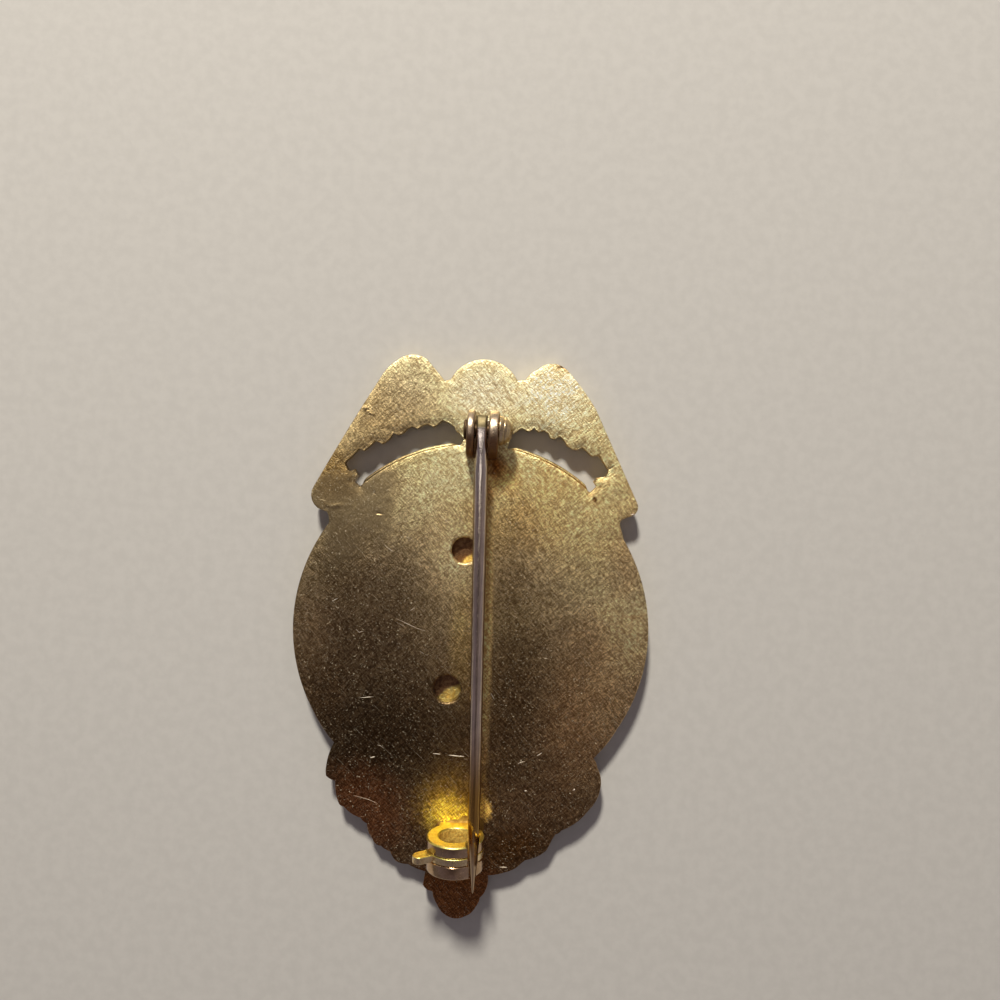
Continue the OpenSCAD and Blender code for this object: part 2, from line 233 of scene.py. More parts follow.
def outside_run(points, centre, r):
    """The stretch of a closed outline that lies outside a circle, cut off on the circle at both ends."""
    away = away_from(centre, points) > r
    start = next(i for i in range(len(points)) if away[i] and not away[i - 1])
    points, away = np.roll(points, -start, 0), np.roll(away, -start)
    count = int(np.argmin(away)) if not away.all() else len(points)

    def crossing(inside, outside):
        low, high = 0.0, 1.0
        for _ in range(40):
            mid = (low + high) / 2
            if np.linalg.norm(inside + mid * (outside - inside) - centre) > r:
                high = mid
            else:
                low = mid
        return inside + low * (outside - inside)

    run = list(points[:count])
    first = crossing(points[-1], points[0])
    last = crossing(points[count % len(points)], run[-1])
    return np.array([first] + run + [last])


def resampled(points, spacing, closed=True):
    """The same line with every long stretch cut into equal shorter ones."""
    out = []
    ends = np.roll(points, -1, 0) if closed else points[1:]
    for a, b in zip(points, ends):
        steps = max(1, math.ceil(np.linalg.norm(b - a) / spacing))
        out += [a + (b - a) * i / steps for i in range(steps)]
    if not closed:
        out.append(points[-1])
    keep = [out[0]]
    for p in out[1:]:
        if np.linalg.norm(p - keep[-1]) > 0.12 * spacing:
            keep.append(p)
    return np.array(keep)


def badge_outline(spacing):
    wings = outside_run(outline(wings_edge), body_c, body_r)
    foot = outside_run(outline(leaves_edge), body_c, body_r)
    right = arc(body_c, body_r, angle_at(foot[-1], body_c), angle_at(wings[0], body_c), spacing)
    left_end = angle_at(foot[0], body_c) + 2 * math.pi
    left = arc(body_c, body_r, angle_at(wings[-1], body_c), left_end, spacing)
    wings, foot = resampled(wings, spacing, False), resampled(foot, spacing, False)
    return np.vstack([run[:-1] for run in (right, wings, left, foot)])


def window_lines(edge, spacing):
    """The scalloped upper line and the smooth lower arc of a window, both ending where they meet."""
    top = resampled(outside_run(outline(edge), window_c, window_arc_r), spacing, False)
    low = arc(window_c, window_arc_r, angle_at(top[-1], window_c), angle_at(top[0], window_c), spacing)
    return top, low


def distance(points, line, closed):
    """Distance of each point to a line of segments."""
    a = line if closed else line[:-1]
    b = np.roll(line, -1, 0) if closed else line[1:]
    along = b - a
    length2 = np.maximum((along ** 2).sum(1), 1e-12)
    out = np.empty(len(points))
    for i in range(0, len(points), 2000):
        p = points[i:i + 2000, None, :]
        t = np.clip(((p - a) * along).sum(2) / length2, 0, 1)
        out[i:i + 2000] = np.sqrt(((p - a - t[..., None] * along) ** 2).sum(2).min(1))
    return out


def inside(points, loop):
    """Whether each point lies inside a closed outline."""
    a, b = loop, np.roll(loop, -1, 0)
    hit = np.zeros(len(points), bool)
    for (x0, y0), (x1, y1) in zip(a, b):
        if y0 == y1:
            continue
        between = (points[:, 1] > y0) != (points[:, 1] > y1)
        hit ^= between & (points[:, 0] < x0 + (points[:, 1] - y0) * (x1 - x0) / (y1 - y0))
    return hit


def near_points(points, others, reach):
    """Which points lie nearer than a reach to any of the others."""
    tree = kdtree.KDTree(len(others))
    for i, (x, y) in enumerate(others):
        tree.insert((x, y, 0), i)
    tree.balance()
    return np.array([tree.find((x, y, 0))[2] < reach for x, y in points])


# The plate's own outline has more corners than this, and is nowhere thin
long_loop = 400


def inset(loop, d):
    """A counter-clockwise outline moved inwards by d, and by less where it is thin."""
    e1 = unit(loop - np.roll(loop, 1, 0))
    e2 = unit(np.roll(loop, -1, 0) - loop)
    n1 = np.c_[-e1[:, 1], e1[:, 0]]
    n2 = np.c_[-e2[:, 1], e2[:, 0]]
    way = unit(n1 + n2)
    move = d / np.maximum((way * n1).sum(1), 0.45)
    if len(loop) < long_loop:
        move = np.minimum(move, 0.35 * thickness(loop, way))
    return loop + move[:, None] * way


def thickness(loop, way):
    """Distance from each corner of an outline to the side across from it."""
    edge = np.roll(loop, -1, 0) - loop
    apart = loop[None, :, :] - loop[:, None, :]
    cross = way[:, None, 0] * edge[None, :, 1] - way[:, None, 1] * edge[None, :, 0]
    cross = np.where(np.abs(cross) < 1e-9, 1e-9, cross)
    far = (apart[:, :, 0] * edge[None, :, 1] - apart[:, :, 1] * edge[None, :, 0]) / cross
    along = (apart[:, :, 0] * way[:, None, 1] - apart[:, :, 1] * way[:, None, 0]) / cross
    hit = (far > 1e-3) & (along >= 0) & (along <= 1)
    return np.where(hit, far, 1e3).min(1)


def dots(low, high, spacing):
    """Points of a triangular grid over a rectangle."""
    xs = np.arange(low[0], high[0], spacing)
    ys = np.arange(low[1], high[1], spacing * math.sqrt(3) / 2)
    return np.array([(x + (spacing / 2 if j % 2 else 0), y) for j, y in enumerate(ys) for x in xs])


# Meshes
usual_sharp_deg = 38


def smooth(mesh, sharp_deg):
    """Shades a mesh smooth, except at edges sharper than an angle."""
    for polygon in mesh.polygons:
        polygon.use_smooth = True
    mesh.set_sharp_from_angle(angle=math.radians(sharp_deg))


class Shell:
    """Vertices and faces of one piece, in millimetres."""

    def __init__(self):
        self.verts = []
        self.faces = []

    def ring(self, points):
        start = len(self.verts)
        self.verts += [tuple(p) for p in points]
        return list(range(start, len(self.verts)))

    def bridge(self, a, b):
        for i in range(len(a)):
            j = (i + 1) % len(a)
            self.faces.append((a[i], a[j], b[j], b[i]))

    def join(self, rings, swapped=False):
        """Bridges each ring to the next one."""
        for a, b in zip(rings, rings[1:]):
            if swapped:
                a, b = b, a
            self.bridge(a, b)

    def cap(self, ring, upwards):
        self.faces.append(tuple(ring) if upwards else tuple(reversed(ring)))

    def tip(self, ring, point, upwards):
        self.verts.append(tuple(point))
        last = len(self.verts) - 1
        for i in range(len(ring)):
            j = (i + 1) % len(ring)
            self.faces.append((ring[i], ring[j], last) if upwards else (ring[j], ring[i], last))

    def add(self, other):
        start = len(self.verts)
        self.verts += other.verts
        self.faces += [tuple(start + i for i in f) for f in other.faces]
        return self

    def moved(self, move):
        self.verts = [tuple(move(*v)) for v in self.verts]
        return self

    def flipped(self):
        self.faces = [tuple(reversed(f)) for f in self.faces]
        return self

    def piece(self, name, sharp_deg=usual_sharp_deg):
        mesh = bpy.data.meshes.new(name)
        mesh.from_pydata([(MM * x, MM * y, MM * z) for x, y, z in self.verts], [], self.faces)
        mesh.validate()
        smooth(mesh, sharp_deg)
        obj = bpy.data.objects.new(name, mesh)
        bpy.context.scene.collection.objects.link(obj)
        return obj


def prism(loop, y0, y1, bevel, steps=4, caps=True):
    """A solid along Y with rounded edges. The loop, or loop(y), has points (x, z), counter-clockwise."""
    shell = Shell()
    loop_at = loop if callable(loop) else lambda y: loop
    levels = [(bevel + 0.05, y0)]
    for i in range(steps + 1):
        a = math.pi / 2 * i / steps
        levels.append((bevel * (1 - math.sin(a)), y0 + bevel * (1 - math.cos(a))))
    levels += [(d, y0 + y1 - y) for d, y in reversed(levels)]
    rings = []
    for d, y in levels:
        moved = inset(loop_at(y), d)
        rings.append(shell.ring([(x, y, z) for x, z in moved]))
    shell.join(rings)
    if caps:
        shell.cap(rings[0], False)
        shell.cap(rings[-1], True)
    return shell


def lathe(profile, segments=64):
    """A solid turned about X from rows (x, r). A row with r = 0 ends it in a point."""
    shell = Shell()
    turns = [2 * math.pi * i / segments for i in range(segments)]
    rings = []
    for x, r in profile[1:-1]:
        rings.append(shell.ring([(x, r * math.cos(t), r * math.sin(t)) for t in turns]))
    shell.join(rings)
    shell.tip(rings[0], (profile[0][0], 0, 0), False)
    shell.tip(rings[-1], (profile[-1][0], 0, 0), True)
    return shell


def skirt(loop, z, height, reach, seed):
    """An uneven fillet of solder round the foot of a counter-clockwise outline (x, y)."""
    shell = Shell()
    loop = resampled(loop, 0.25)
    rough = np.array([noise.noise(Vector((x * 0.9, y * 0.9, seed))) for x, y in loop])
    wide = reach * (1 + 0.7 * rough)
    tall = height * (1 + 0.5 * rough)
    rings = []
    normals = loop - inset(loop, 1.0)
    rows = list(zip(loop, normals, wide, tall))
    for i in range(7):
        a = math.pi / 2 * i / 6
        side, up = 1 - math.sin(a), 1 - math.cos(a)
        rings.append(shell.ring([(*(p + n * side * w), z + up * h) for p, n, w, h in rows]))
    rings.append(shell.ring([(*(p - n * 0.2), z + h) for p, n, h in zip(loop, normals, tall)]))
    rings.append(shell.ring([(*(p - n * 0.2), z - 0.15) for p, n in zip(loop, normals)]))
    rings.append(shell.ring([(*(p + n * w), z - 0.15) for p, n, w in zip(loop, normals, wide)]))
    shell.join(rings + rings[:1])
    return shell


def cut(obj, cutter):
    """Takes the cutter's shape out of a piece and removes the cutter."""
    modifier = obj.modifiers.new("cut", "BOOLEAN")
    modifier.operation = "DIFFERENCE"
    modifier.solver = "EXACT"
    modifier.object = cutter
    bpy.context.view_layer.objects.active = obj
    bpy.ops.object.modifier_apply(modifier="cut")
    bpy.data.objects.remove(cutter)
    smooth(obj.data, usual_sharp_deg)
    return obj


def paint_faces(obj, index, chosen):
    """Gives the chosen faces of a piece its material of that number."""
    for face in obj.data.polygons:
        if chosen(face):
            face.material_index = index
    return obj


# Front relief of the struck plate, as heights over its face
def raised(gap_to_edge, height, slope=relief_slope):
    """Height of a raised shape from the signed distance to its edge, positive inside."""
    return height * smooth_step(0, slope, gap_to_edge)


# Rows of feathers: radius of the tips, width, first and last angle, count, height
feather_rows = (
    (25.6, 1.75, 36, 80, 10, ribbon_h),
    (28.2, 1.9, 41, 77, 8, rim_h),
    (30.8, 2.3, 49, 74, 5, crest_h),
)


def feather_gap(points, tip_r, w, start, end, count):
    """Signed distance to a row of feathers with round tips, and the distance to the nearest shaft."""
    centre = points - np.array(window_c)
    best = np.full(len(points), -9.0)
    shaft = np.full(len(points), 9.0)
    turns = [start + (end - start) * i / (count - 1) for i in range(count)]
    for turn in turns + [180 - t for t in turns]:
        a = math.radians(turn)
        along = centre @ np.array([math.cos(a), math.sin(a)]) - (tip_r + w / 2)
        across = np.abs(centre @ np.array([-math.sin(a), math.cos(a)]))
        gap_here = w / 2 - np.where(along > 0, across, np.hypot(along, across))
        shaft = np.where(gap_here > best, across, shaft)
        best = np.maximum(best, gap_here)
    return best, shaft


def leaf_gap(points, x, y, turn, l, w):
    """Signed distance to a leaf between two arcs, and the places along and across its middle rib."""
    r = (l * l + w * w) / (4 * w)
    a = math.radians(turn)
    local = (points - np.array([x, y])) @ np.array([[math.cos(a), -math.sin(a)], [math.sin(a), math.cos(a)]])
    up = r - np.hypot(local[:, 0], local[:, 1] - (r - w / 2))
    down = r - np.hypot(local[:, 0], local[:, 1] + (r - w / 2))
    return np.minimum(up, down), local


def front_relief(points, edge_gap):
    """Height of the cast relief over the plate's face."""
    seal = away_from(seal_c, points)
    turn = np.degrees(np.arctan2(points[:, 1] - seal_c[1], points[:, 0]))
    above = window_arc_r + window_lip - away_from(window_c, points)
    body_gap = np.maximum(body_r - away_from(body_c, points), above)
    heights = [np.zeros(len(points))]
    for middle in (90, -90):
        off = np.abs((turn - middle + 180) % 360 - 180)
        ends = np.radians(ribbon_half_deg - off) * seal
        panel = np.minimum(ribbon_half_w - np.abs(seal - ribbon_r), ends)
        border = np.minimum(panel, ribbon_edge_w - panel)
        heights += [raised(panel, ribbon_h * 0.75), raised(border, ribbon_h, ribbon_slope)]
    wing = -body_gap > 0.35
    for tip, w, start, end, count, height in feather_rows:
        best, shaft = feather_gap(points, tip, w, start, end, count)
        vane = height - 0.09 * smooth_step(0.25, 0.0, shaft) - 0.1 * smooth_step(0.4, 1.0, shaft)
        heights.append(np.where(wing, raised(best, 1.0) * vane, 0))
    heights.append(raised(np.minimum(body_gap, rim_w - body_gap), rim_h))
    ring = np.minimum(seal - seal_r - seal_ring[0], seal_r + seal_ring[1] - seal)
    heights.append(raised(ring, rim_h))
    grown = [(s * x, y, t if s > 0 else 180 - t, l, w) for x, y, t, l, w in leaves for s in (1, -1)]
    for x, y, t, l, w in grown + [tip_leaf]:
        best, local = leaf_gap(points, x, y, t, l, w)
        rib = 0.12 * smooth_step(0.22, 0.0, np.abs(local[:, 1]))
        veins = 0.06 * np.cos(2 * math.pi * (local[:, 0] - 1.3 * np.abs(local[:, 1])) / 0.9)
        heights.append(raised(best, rim_h - 0.02, 0.7) - np.where(best > 0.3, rib + veins * 0.5, 0))
    crest = away_from(crest_c, points)
    heights.append(raised(crest_r - crest, crest_h * 0.6))
    heights.append(raised(np.minimum(crest_r - crest, crest - crest_ring_r), crest_h))
    heights.append((crest_h - 0.06) * np.clip(1 - (crest / crest_boss_r) ** 2, 0, 1) ** 0.5)
    relief = np.max(heights, axis=0)
    return relief * smooth_step(-0.05, 0.15, edge_gap) + 0.12 * (smooth_step(0, 0.15, edge_gap) - 1)


def field(points, size, seed):
    """Smooth random heights from -1 to 1 with features of a given size."""
    return np.array([noise.noise(Vector((x / size, y / size, seed))) for x, y in points])


# Marks of wear on the back: x, y, reach along and across, angle, depth (negative stands proud)
marks = [
    (-12.3, 15.1, 0.42, 0.11, -4, 0.09),
    (-12.25, 14.9, 0.36, 0.11, -6, -0.03),
    (-14.2, 27.9, 0.75, 0.4, -35, -0.05),
    (-14.6, 28.2, 0.16, 0.2, 0, -0.09),
    (-13.8, 27.5, 0.25, 0.12, -40, -0.08),
    (-14.3, 28.0, 0.14, 0.14, 0, 0.1),
    (14.6, 18.35, 0.16, 0.2, 60, 0.07),
    (14.7, 18.1, 0.09, 0.2, 20, 0.05),
    (-18.0, 15.75, 1.0, 0.25, 6, -0.04),
    (-18.7, 15.5, 0.25, 0.25, 0, 0.05),
    (-17.4, 15.9, 0.25, 0.18, 20, -0.04),
    (-13.0, 17.7, 0.35, 0.08, -50, 0.05),
    (-13.1, 17.6, 0.30, 0.08, 70, 0.05),
    (9.6, 34.55, 0.4, 0.15, -15, 0.08),
    (16.35, 22.2, 0.4, 0.1, 40, 0.09),
    (-15.2, 15.6, 0.12, 0.5, 0, -0.04),
    (-1.6, 22.9, 0.7, 0.35, 10, 0.04),
]
# Where the marks need a finer mesh: x, y, reach
fine_spots = (
    (-12.3, 15.0, 1.1),
    (-14.2, 27.9, 1.6),
    (14.6, 18.2, 0.8),
    (-18.1, 15.7, 1.6),
    (-13.0, 17.7, 0.8),
    (16.3, 22.2, 0.9),
    (9.6, 34.6, 0.8),
)
# The uneven solder above the catch
solder_c = (-2.3, -21.2)
solder_reach = (2.3, 2.5)
solder_box = ((-5.2, -24.2), (0.6, -18.2))
# A place on the metal, from which the plate is filled
on_metal = (8.0, 0.0)

# Spacing of the plate's points, its reach, and the depths of the lines of points along its edges
plate_spacing = 0.3
wing_spacing = 0.22
hole_spacing = 0.18
edge_spacing = 0.26
mark_spacing = 0.09
solder_spacing = 0.15
line_clear = 0.13
least_apart = 0.045
plate_reach = (21, 36)
wing_y = 17
window_depths = (0.04, 0.1, 0.22, 0.4, 0.62)
hole_depths = (0.06, 0.165, 0.185, 0.4)
outer_depths = (0.05, 0.13, 0.3)
edge_depths = (outer_depths, window_depths, window_depths, hole_depths, hole_depths)
# Walls from back to front: share of the lip, share of the way down with the lip, and without it
plain_wall = ((0.0, 0.12, 0.12), (0.0, 0.3, 0.3), (0.0, 0.55, 0.55), (0.0, 0.8, 0.8))
window_wall = (
    (0.0, 0.12, 0.12), (0.0, 0.4, 0.25), (0.0, 0.75, 0.4), (0.27, 0.75, 0.5), (0.4, 0.4, 0.6),
    (0.85, 0.5, 0.7), (1.0, 0.62, 0.8), (1.0, 0.8, 0.9),
)


def on_wings(points):
    """Which points lie on the wings and lobes, above the windows' lower edge."""
    return (away_from(window_c, points) > window_arc_r + window_lip) & (points[:, 1] > wing_y)


def relief_edges():
    """Points along the edges of the front's rims, ribbons and crest, so that they come out smooth."""
    circles = [(seal_c, seal_r + d) for d in (seat_gap - 0.05, seat_gap + 0.05)]
    low, high = seal_ring
    circles += [(seal_c, seal_r + d) for d in (low, low + relief_slope, high - relief_slope, high)]
    circles += [(crest_c, r) for r in (crest_r, crest_r - relief_slope, crest_ring_r, crest_boss_r)]
    for d in (0.0, relief_slope, rim_w - relief_slope, rim_w):
        circles += [(body_c, body_r - d), (window_c, window_arc_r + window_lip - d)]
    rings = []
    for centre, r in circles:
        half = centre == window_c
        rings.append(arc(centre, r, 0, math.pi if half else 2 * math.pi, edge_spacing))
    for middle in (90, -90):
        for side in (-1, 1):
            turns = [math.radians(middle + s * (ribbon_half_deg - 0.5)) for s in (-1, 1)]
            for d in (0.0, ribbon_slope, ribbon_edge_w - ribbon_slope, ribbon_edge_w):
                rings.append(arc(seal_c, ribbon_r + side * (ribbon_half_w - d), *turns, edge_spacing))
                r = np.linspace(ribbon_r - ribbon_half_w + d, ribbon_r + ribbon_half_w - d, 16)
                turn = math.radians(middle + side * ribbon_half_deg) - side * d / r
                rings.append(np.c_[seal_c[0] + r * np.cos(turn), seal_c[1] + r * np.sin(turn)])
    return np.vstack(rings)


def back_height(points, edges):
    """Height of the plate's back: bent, rolled down at the windows' upper edges, worn and dented."""
    outer, tops, lows, rims = edges
    z = bend_axis_z - np.sqrt(bend_r ** 2 - points[:, 0] ** 2)
    # Slight waves of the whole back
    z = z + 0.018 * field(points, 7.0, 1.5) + 0.008 * field(points, 2.2, 4.5)
    # Rolled and worn edges
    uneven = 1 + 0.6 * field(points, 0.8, 8.5)
    z -= 0.12 * uneven * np.exp(-(tops / 0.55) ** 1.5) - 0.03 * np.exp(-(tops / 0.12) ** 2)
    z -= 0.03 * np.exp(-(lows / 0.25) ** 2)
    z -= 0.04 * np.exp(-(outer / 0.45) ** 2)
    z -= np.clip(0.17 - rims, 0, 0.17)
    # Rounded corners
    for d, r in ((outer, 0.11), (tops, 0.07), (lows, 0.06)):
        near = np.clip(r - d, 0, r)
        z -= r - np.sqrt(r * r - near * near)
    for x, y, along, across, turn, depth in marks:
        a = math.radians(turn)
        u = (points[:, 0] - x) * math.cos(a) + (points[:, 1] - y) * math.sin(a)
        v = (points[:, 1] - y) * math.cos(a) - (points[:, 0] - x) * math.sin(a)
        z -= depth * np.exp(-(u / along) ** 2 - (v / across) ** 2)
    aside, along = ((points - solder_c) / solder_reach).T
    flow = 0.10 + 0.05 * field(points, 0.8, 12.5) + 0.035 * field(points, 0.35, 15.5)
    z += np.exp(-aside ** 4 - along ** 4) * flow
    return z


def filled(triangles, walls, points, middle):
    """The triangles reached from the one nearest to a place without crossing a wall, a pair of points."""
    sides = [[tuple(sorted((t[i], t[i - 1]))) for i in range(3)] for t in triangles]
    beside = {}
    for k, three in enumerate(sides):
        for side in three:
            beside.setdefault(side, []).append(k)
    centres = points[np.array(triangles)].mean(1)
    ahead = [int(np.argmin(away_from(middle, centres)))]
    reached = set(ahead)
    while ahead:
        for side in sides[ahead.pop()]:
            for k in beside[side]:
                if side not in walls and k not in reached:
                    reached.add(k)
                    ahead.append(k)
    return np.array([triangles[k] for k in sorted(reached)])


def free_points(loops):
    """Points between the outlines: grids, finer on the wings and at the marks, and lines along edges."""
    wide = dots((-plate_reach[0], -plate_reach[1]), plate_reach, plate_spacing)
    fine = dots((-plate_reach[0], wing_y), plate_reach, wing_spacing)
    spread = [wide[~on_wings(wide)], fine[on_wings(fine)]]
    for x, y, reach in fine_spots:
        spot = dots((x - reach, y - reach), (x + reach, y + reach), mark_spacing)
        spread.append(spot[away_from((x, y), spot) < reach])
    spread.append(dots(*solder_box, solder_spacing))
    for k, (loop, depths) in enumerate(zip(loops, edge_depths)):
        for d in depths:
            moved = inset(resampled(loop, plate_spacing if k < 3 else hole_spacing), d if k == 0 else -d)
            spread.append(moved[distance(moved, loop, True) > 0.93 * d])
    free = np.vstack(spread)
    lines = relief_edges()
    free = np.vstack([lines, free[~near_points(free, lines, line_clear)]])
    keep = inside(free, loops[0]) & (distance(free, loops[0], True) > least_apart)
    for cutout in loops[1:]:
        keep &= ~inside(free, cutout) & (distance(free, cutout, True) > 0.035)
    free = free[keep]
    _, unique = np.unique(np.round(free / least_apart).astype(int), axis=0, return_index=True)
    return free[np.sort(unique)]


def triangulated(loops):
    """The flat plate: its points, its triangles, and for each outline where its points are in the list."""
    edges = []
    runs = []
    first = 0
    for loop in loops:
        runs.append(list(range(first, first + len(loop))))
        edges += list(zip(runs[-1], runs[-1][1:] + [first]))
        first += len(loop)
    points = np.vstack(loops + [free_points(loops)])
    out = geometry.delaunay_2d_cdt([Vector(p) for p in points], edges, [], 0, 1e-6)
    flat = np.array([tuple(v) for v in out[0]])
    at = {original: new for new, group in enumerate(out[3]) for original in group}
    walls = {tuple(sorted((at[a], at[b]))) for a, b in edges}
    return flat, filled(out[2], walls, flat, on_metal), [[at[i] for i in run] for run in runs]


def front_places(flat, rings, windows):
    """Where the points lie on the front: the same, but the windows' lower edges step outwards."""
    places = flat.copy()
    for ring, (top, low) in zip(rings[1:], windows):
        fade = smooth_step(0, 1.2, np.minimum(away_from(low[0], low), away_from(low[-1], low)))
        out_way = unit(low - np.array(window_c))
        for i in range(1, len(low) - 1):
            places[ring[len(top) - 1 + i]] = low[i] + out_way[i] * window_lip * fade[i]
    return places


def plate():
    """The struck plate: worn back, cast front relief, walls with a step in the windows."""
    outer = badge_outline(plate_spacing)
    windows = [window_lines(edge, plate_spacing) for edge in (left_window_edge, right_window_edge)]
    tops, lows = zip(*windows)
    rims = [arc((x, y), r, 0, 2 * math.pi, hole_spacing)[:-1] for x, y, r in holes]
    loops = [outer] + [np.vstack([top[:-1], low[:-1]]) for top, low in windows] + rims
    flat, tris, rings = triangulated(loops)

    def line_gap(lines, closed):
        return np.min([distance(flat, line, closed) for line in lines], axis=0)

    edge_gaps = (line_gap([outer], True), line_gap(tops, False), line_gap(lows, False), line_gap(rims, True))
    back = back_height(flat, edge_gaps)
    front_flat = front_places(flat, rings, windows)
    relief = front_relief(front_flat, np.min(edge_gaps, axis=0))
    front = bend_axis_z - np.sqrt((front_r + relief) ** 2 - front_flat[:, 0] ** 2)
    front[away_from(seal_c, front_flat) < seal_r + seat_gap] = seat_z
    front = np.maximum(front, face_low)

    shell = Shell()
    n = len(flat)
    shell.verts = [(x, y, z) for (x, y), z in zip(flat, back)]
    shell.verts += [(x, y, z) for (x, y), z in zip(front_flat, front)]
    shell.faces = [tuple(int(i) for i in t) for t in tris]
    shell.faces += [(int(t[0]) + n, int(t[2]) + n, int(t[1]) + n) for t in tris]
    for k, ring in enumerate(rings):
        levels = [ring]
        for out_by, stepped, plain in window_wall if k in (1, 2) else plain_wall:
            level = []
            for i in ring:
                step = front_flat[i] - flat[i]
                x, y = flat[i] + out_by * step
                lip = min(1.0, np.linalg.norm(step) / window_lip)
                t = plain + lip * (stepped - plain)
                level.append((x, y, back[i] + t * (front[i] - back[i])))
            levels.append(shell.ring(level))
        levels.append([i + n for i in ring])
        shell.join(levels, swapped=k == 0)
    return shell


def ear(x0, x1):
    """One round-topped ear of the hinge bracket."""
    turns = np.linspace(0, math.pi, 29)
    top = [(ear_y + ear_r * math.cos(t), back_z + ear_h - ear_r + ear_r * math.sin(t)) for t in turns]
    loop = np.array([(ear_y - ear_r, back_z - sink), (ear_y + ear_r, back_z - sink)] + top)
    loop = resampled(loop, 0.5)
    shell = prism(loop, x0, x1, 0.26, 5)
    return shell.moved(lambda y, x, z: (x, y, z))


def box_loop(x0, x1, y0, y1, corner, steps=5):
    """A rectangle with round corners, counter-clockwise."""
    points = []
    left, right, low, high = x0 + corner, x1 - corner, y0 + corner, y1 - corner
    for k, centre in enumerate(((right, high), (left, high), (left, low), (right, low))):
        points += turned(centre, corner, 90 * k, 90 * k + 90, steps)
    return np.array(points)


def at_hinge(x, y, z):
    """A place in the rivet's frame, moved to the plate's."""
    return x, hinge_c[1] + y, rivet_z + z


def rivet_hole():
    hole_r = rivet_r + gap
    return lathe([(-6, 0), (-6, hole_r), (6, hole_r), (6, 0)], 48).moved(at_hinge).piece("rivet_hole")


def hinge_bracket():
    shell = ear(*ear_left)
    shell.add(ear(*ear_right))
    strap = box_loop(ear_left[1] - 0.4, ear_right[0] + 0.4, ear_y - ear_r + 0.1, ear_y + ear_r - 1.1, 0.2)
    base = prism(strap, back_z - sink, back_z + 0.45, 0.08, 2)
    shell.add(base.moved(lambda x, z, y: (x, y, z)))
    return cut(shell.piece("hinge_bracket"), rivet_hole())


def hinge_solder():
    shell = Shell()
    for (x0, x1), seed in ((ear_left, 3.5), (ear_right, 6.5)):
        foot = box_loop(x0, x1, ear_y - ear_r, ear_y + ear_r, 0.15)
        shell.add(skirt(foot, back_z, 0.2, 0.22, seed))
    return shell.piece("hinge_solder")


def hinge_rivet():
    """Domed head on the right with a turned shoulder, peened end on the left."""
    left = ear_left[0] - gap
    right = ear_right[1] + gap
    dome_r = (head_r ** 2 + head_h ** 2) / (2 * head_h)
    full = math.asin(min(1, head_r / dome_r))
    if head_h >= dome_r:
        full = math.pi - full
    rows = [(left - tail_t, 0), (left - tail_t, tail_r * 0.6)]
    rows += [(left - tail_t * 0.93, tail_r * 0.84), (left - tail_t * 0.7, tail_r * 0.97)]
    rows += [(left - tail_t * 0.4, tail_r), (left, tail_r * 0.97), (left, rivet_r), (right, rivet_r)]
    rows += [(right, head_r - 0.08), (right + 0.06, head_r - 0.01)]
    for i in range(39, 0, -1):
        a = full * i / 40
        x = max(right + head_h - dome_r * (1 - math.cos(a)), right + 0.08)
        deep = 0.11 * math.exp(-((x - right - 0.62) / 0.07) ** 2)
        fine = 0.05 * math.exp(-((x - right - 1.1) / 0.06) ** 2)
        rows.append((x, dome_r * math.sin(a) - (deep + fine)))
    rows.append((right + head_h, 0))
    obj = lathe(rows, 72).moved(at_hinge).piece("rivet")
    # The peened end and the shank get the dark dull metal: tarnish on the end, painted shade on the shank
    # between the ears
    return paint_faces(obj, 1, lambda face: face.center.x < MM * ear_right[1])


def smooth_max(a, b, k):
    """The larger value, with a soft change over from one to the other."""
    return max(a, b) + max(k - abs(a - b), 0) ** 2 / (4 * k)


def along_pin(s):
    """Middle of the pin at the distance s from the rivet."""
    x = hinge_c[0] + math.tan(pin_lean) * max(s, 0) * math.cos(pin_lean)
    return x, hinge_c[1] - s * math.cos(pin_rise), rivet_z + s * math.sin(pin_rise)


def pin_radius(s):
    """Radius of the wire: fullest a little below the hinge, drawn out towards the point."""
    wire_r = float(np.interp(s, (3.4, 5.0, 8.5, 22.0, 46.0), (0.745, 0.87, 0.87, 0.81, 0.74)))
    point_r = pin_r - (pin_r - tip_r) * (s - stem_l) / point_l
    return max(tip_r, min(wire_r, point_r))


def pin_shell():
    """The pin: a flattened round eye drawn out into a straight stem with a long point."""
    shell = Shell()
    sides = 36
    stations = [-eye_r * math.cos(math.pi / 2 * i / 14) for i in range(1, 14)]
    stations += [i * 0.15 for i in range(0, 27)]
    stations += [4.0 + i * 0.55 for i in range(0, int((stem_l - 4.6) / 0.55))]
    stations += [stem_l - 0.5, stem_l - 0.25, stem_l, stem_l + 0.2]
    stations += [stem_l + 0.5 + i * 0.45 for i in range(0, 18)]
    rings = []
    for s in stations:
        x, y, z = along_pin(s)
        round_h = math.sqrt(max(eye_r ** 2 - s * s, 0))
        low = round_h if s < 0 else smooth_max(round_h, pin_radius(s), 0.5)
        crown = eye_crown - 0.13 * float(smooth_step(0, 5, s))
        high = crown * round_h / eye_r if s < 0 else max(crown if s < 5 else 0, pin_radius(s))
        blend = float(smooth_step(0.3, 3.5, s))
        wide = eye_half_w + (pin_radius(s) - eye_half_w) * float(smooth_step(0, 4.0, s))
        power = 2 / (4.6 - 2.6 * blend)
        ring = []
        for i in range(sides):
            a = 2 * math.pi * i / sides
            c, h = math.cos(a), math.sin(a)
            u = wide * math.copysign(abs(c) ** power, c)
            v = (high if h > 0 else low) * math.copysign(abs(h) ** power, h)
            ring.append((x + u, y + v * math.sin(pin_rise) * blend, z + v))
        rings.append(shell.ring(ring))
    shell.join(rings, swapped=True)
    shell.tip(rings[0], along_pin(-eye_r), True)
    shell.tip(rings[-1], along_pin(stem_l + point_l), False)
    return shell


def pin_piece():
    return cut(pin_shell().piece("pin_wire"), rivet_hole())


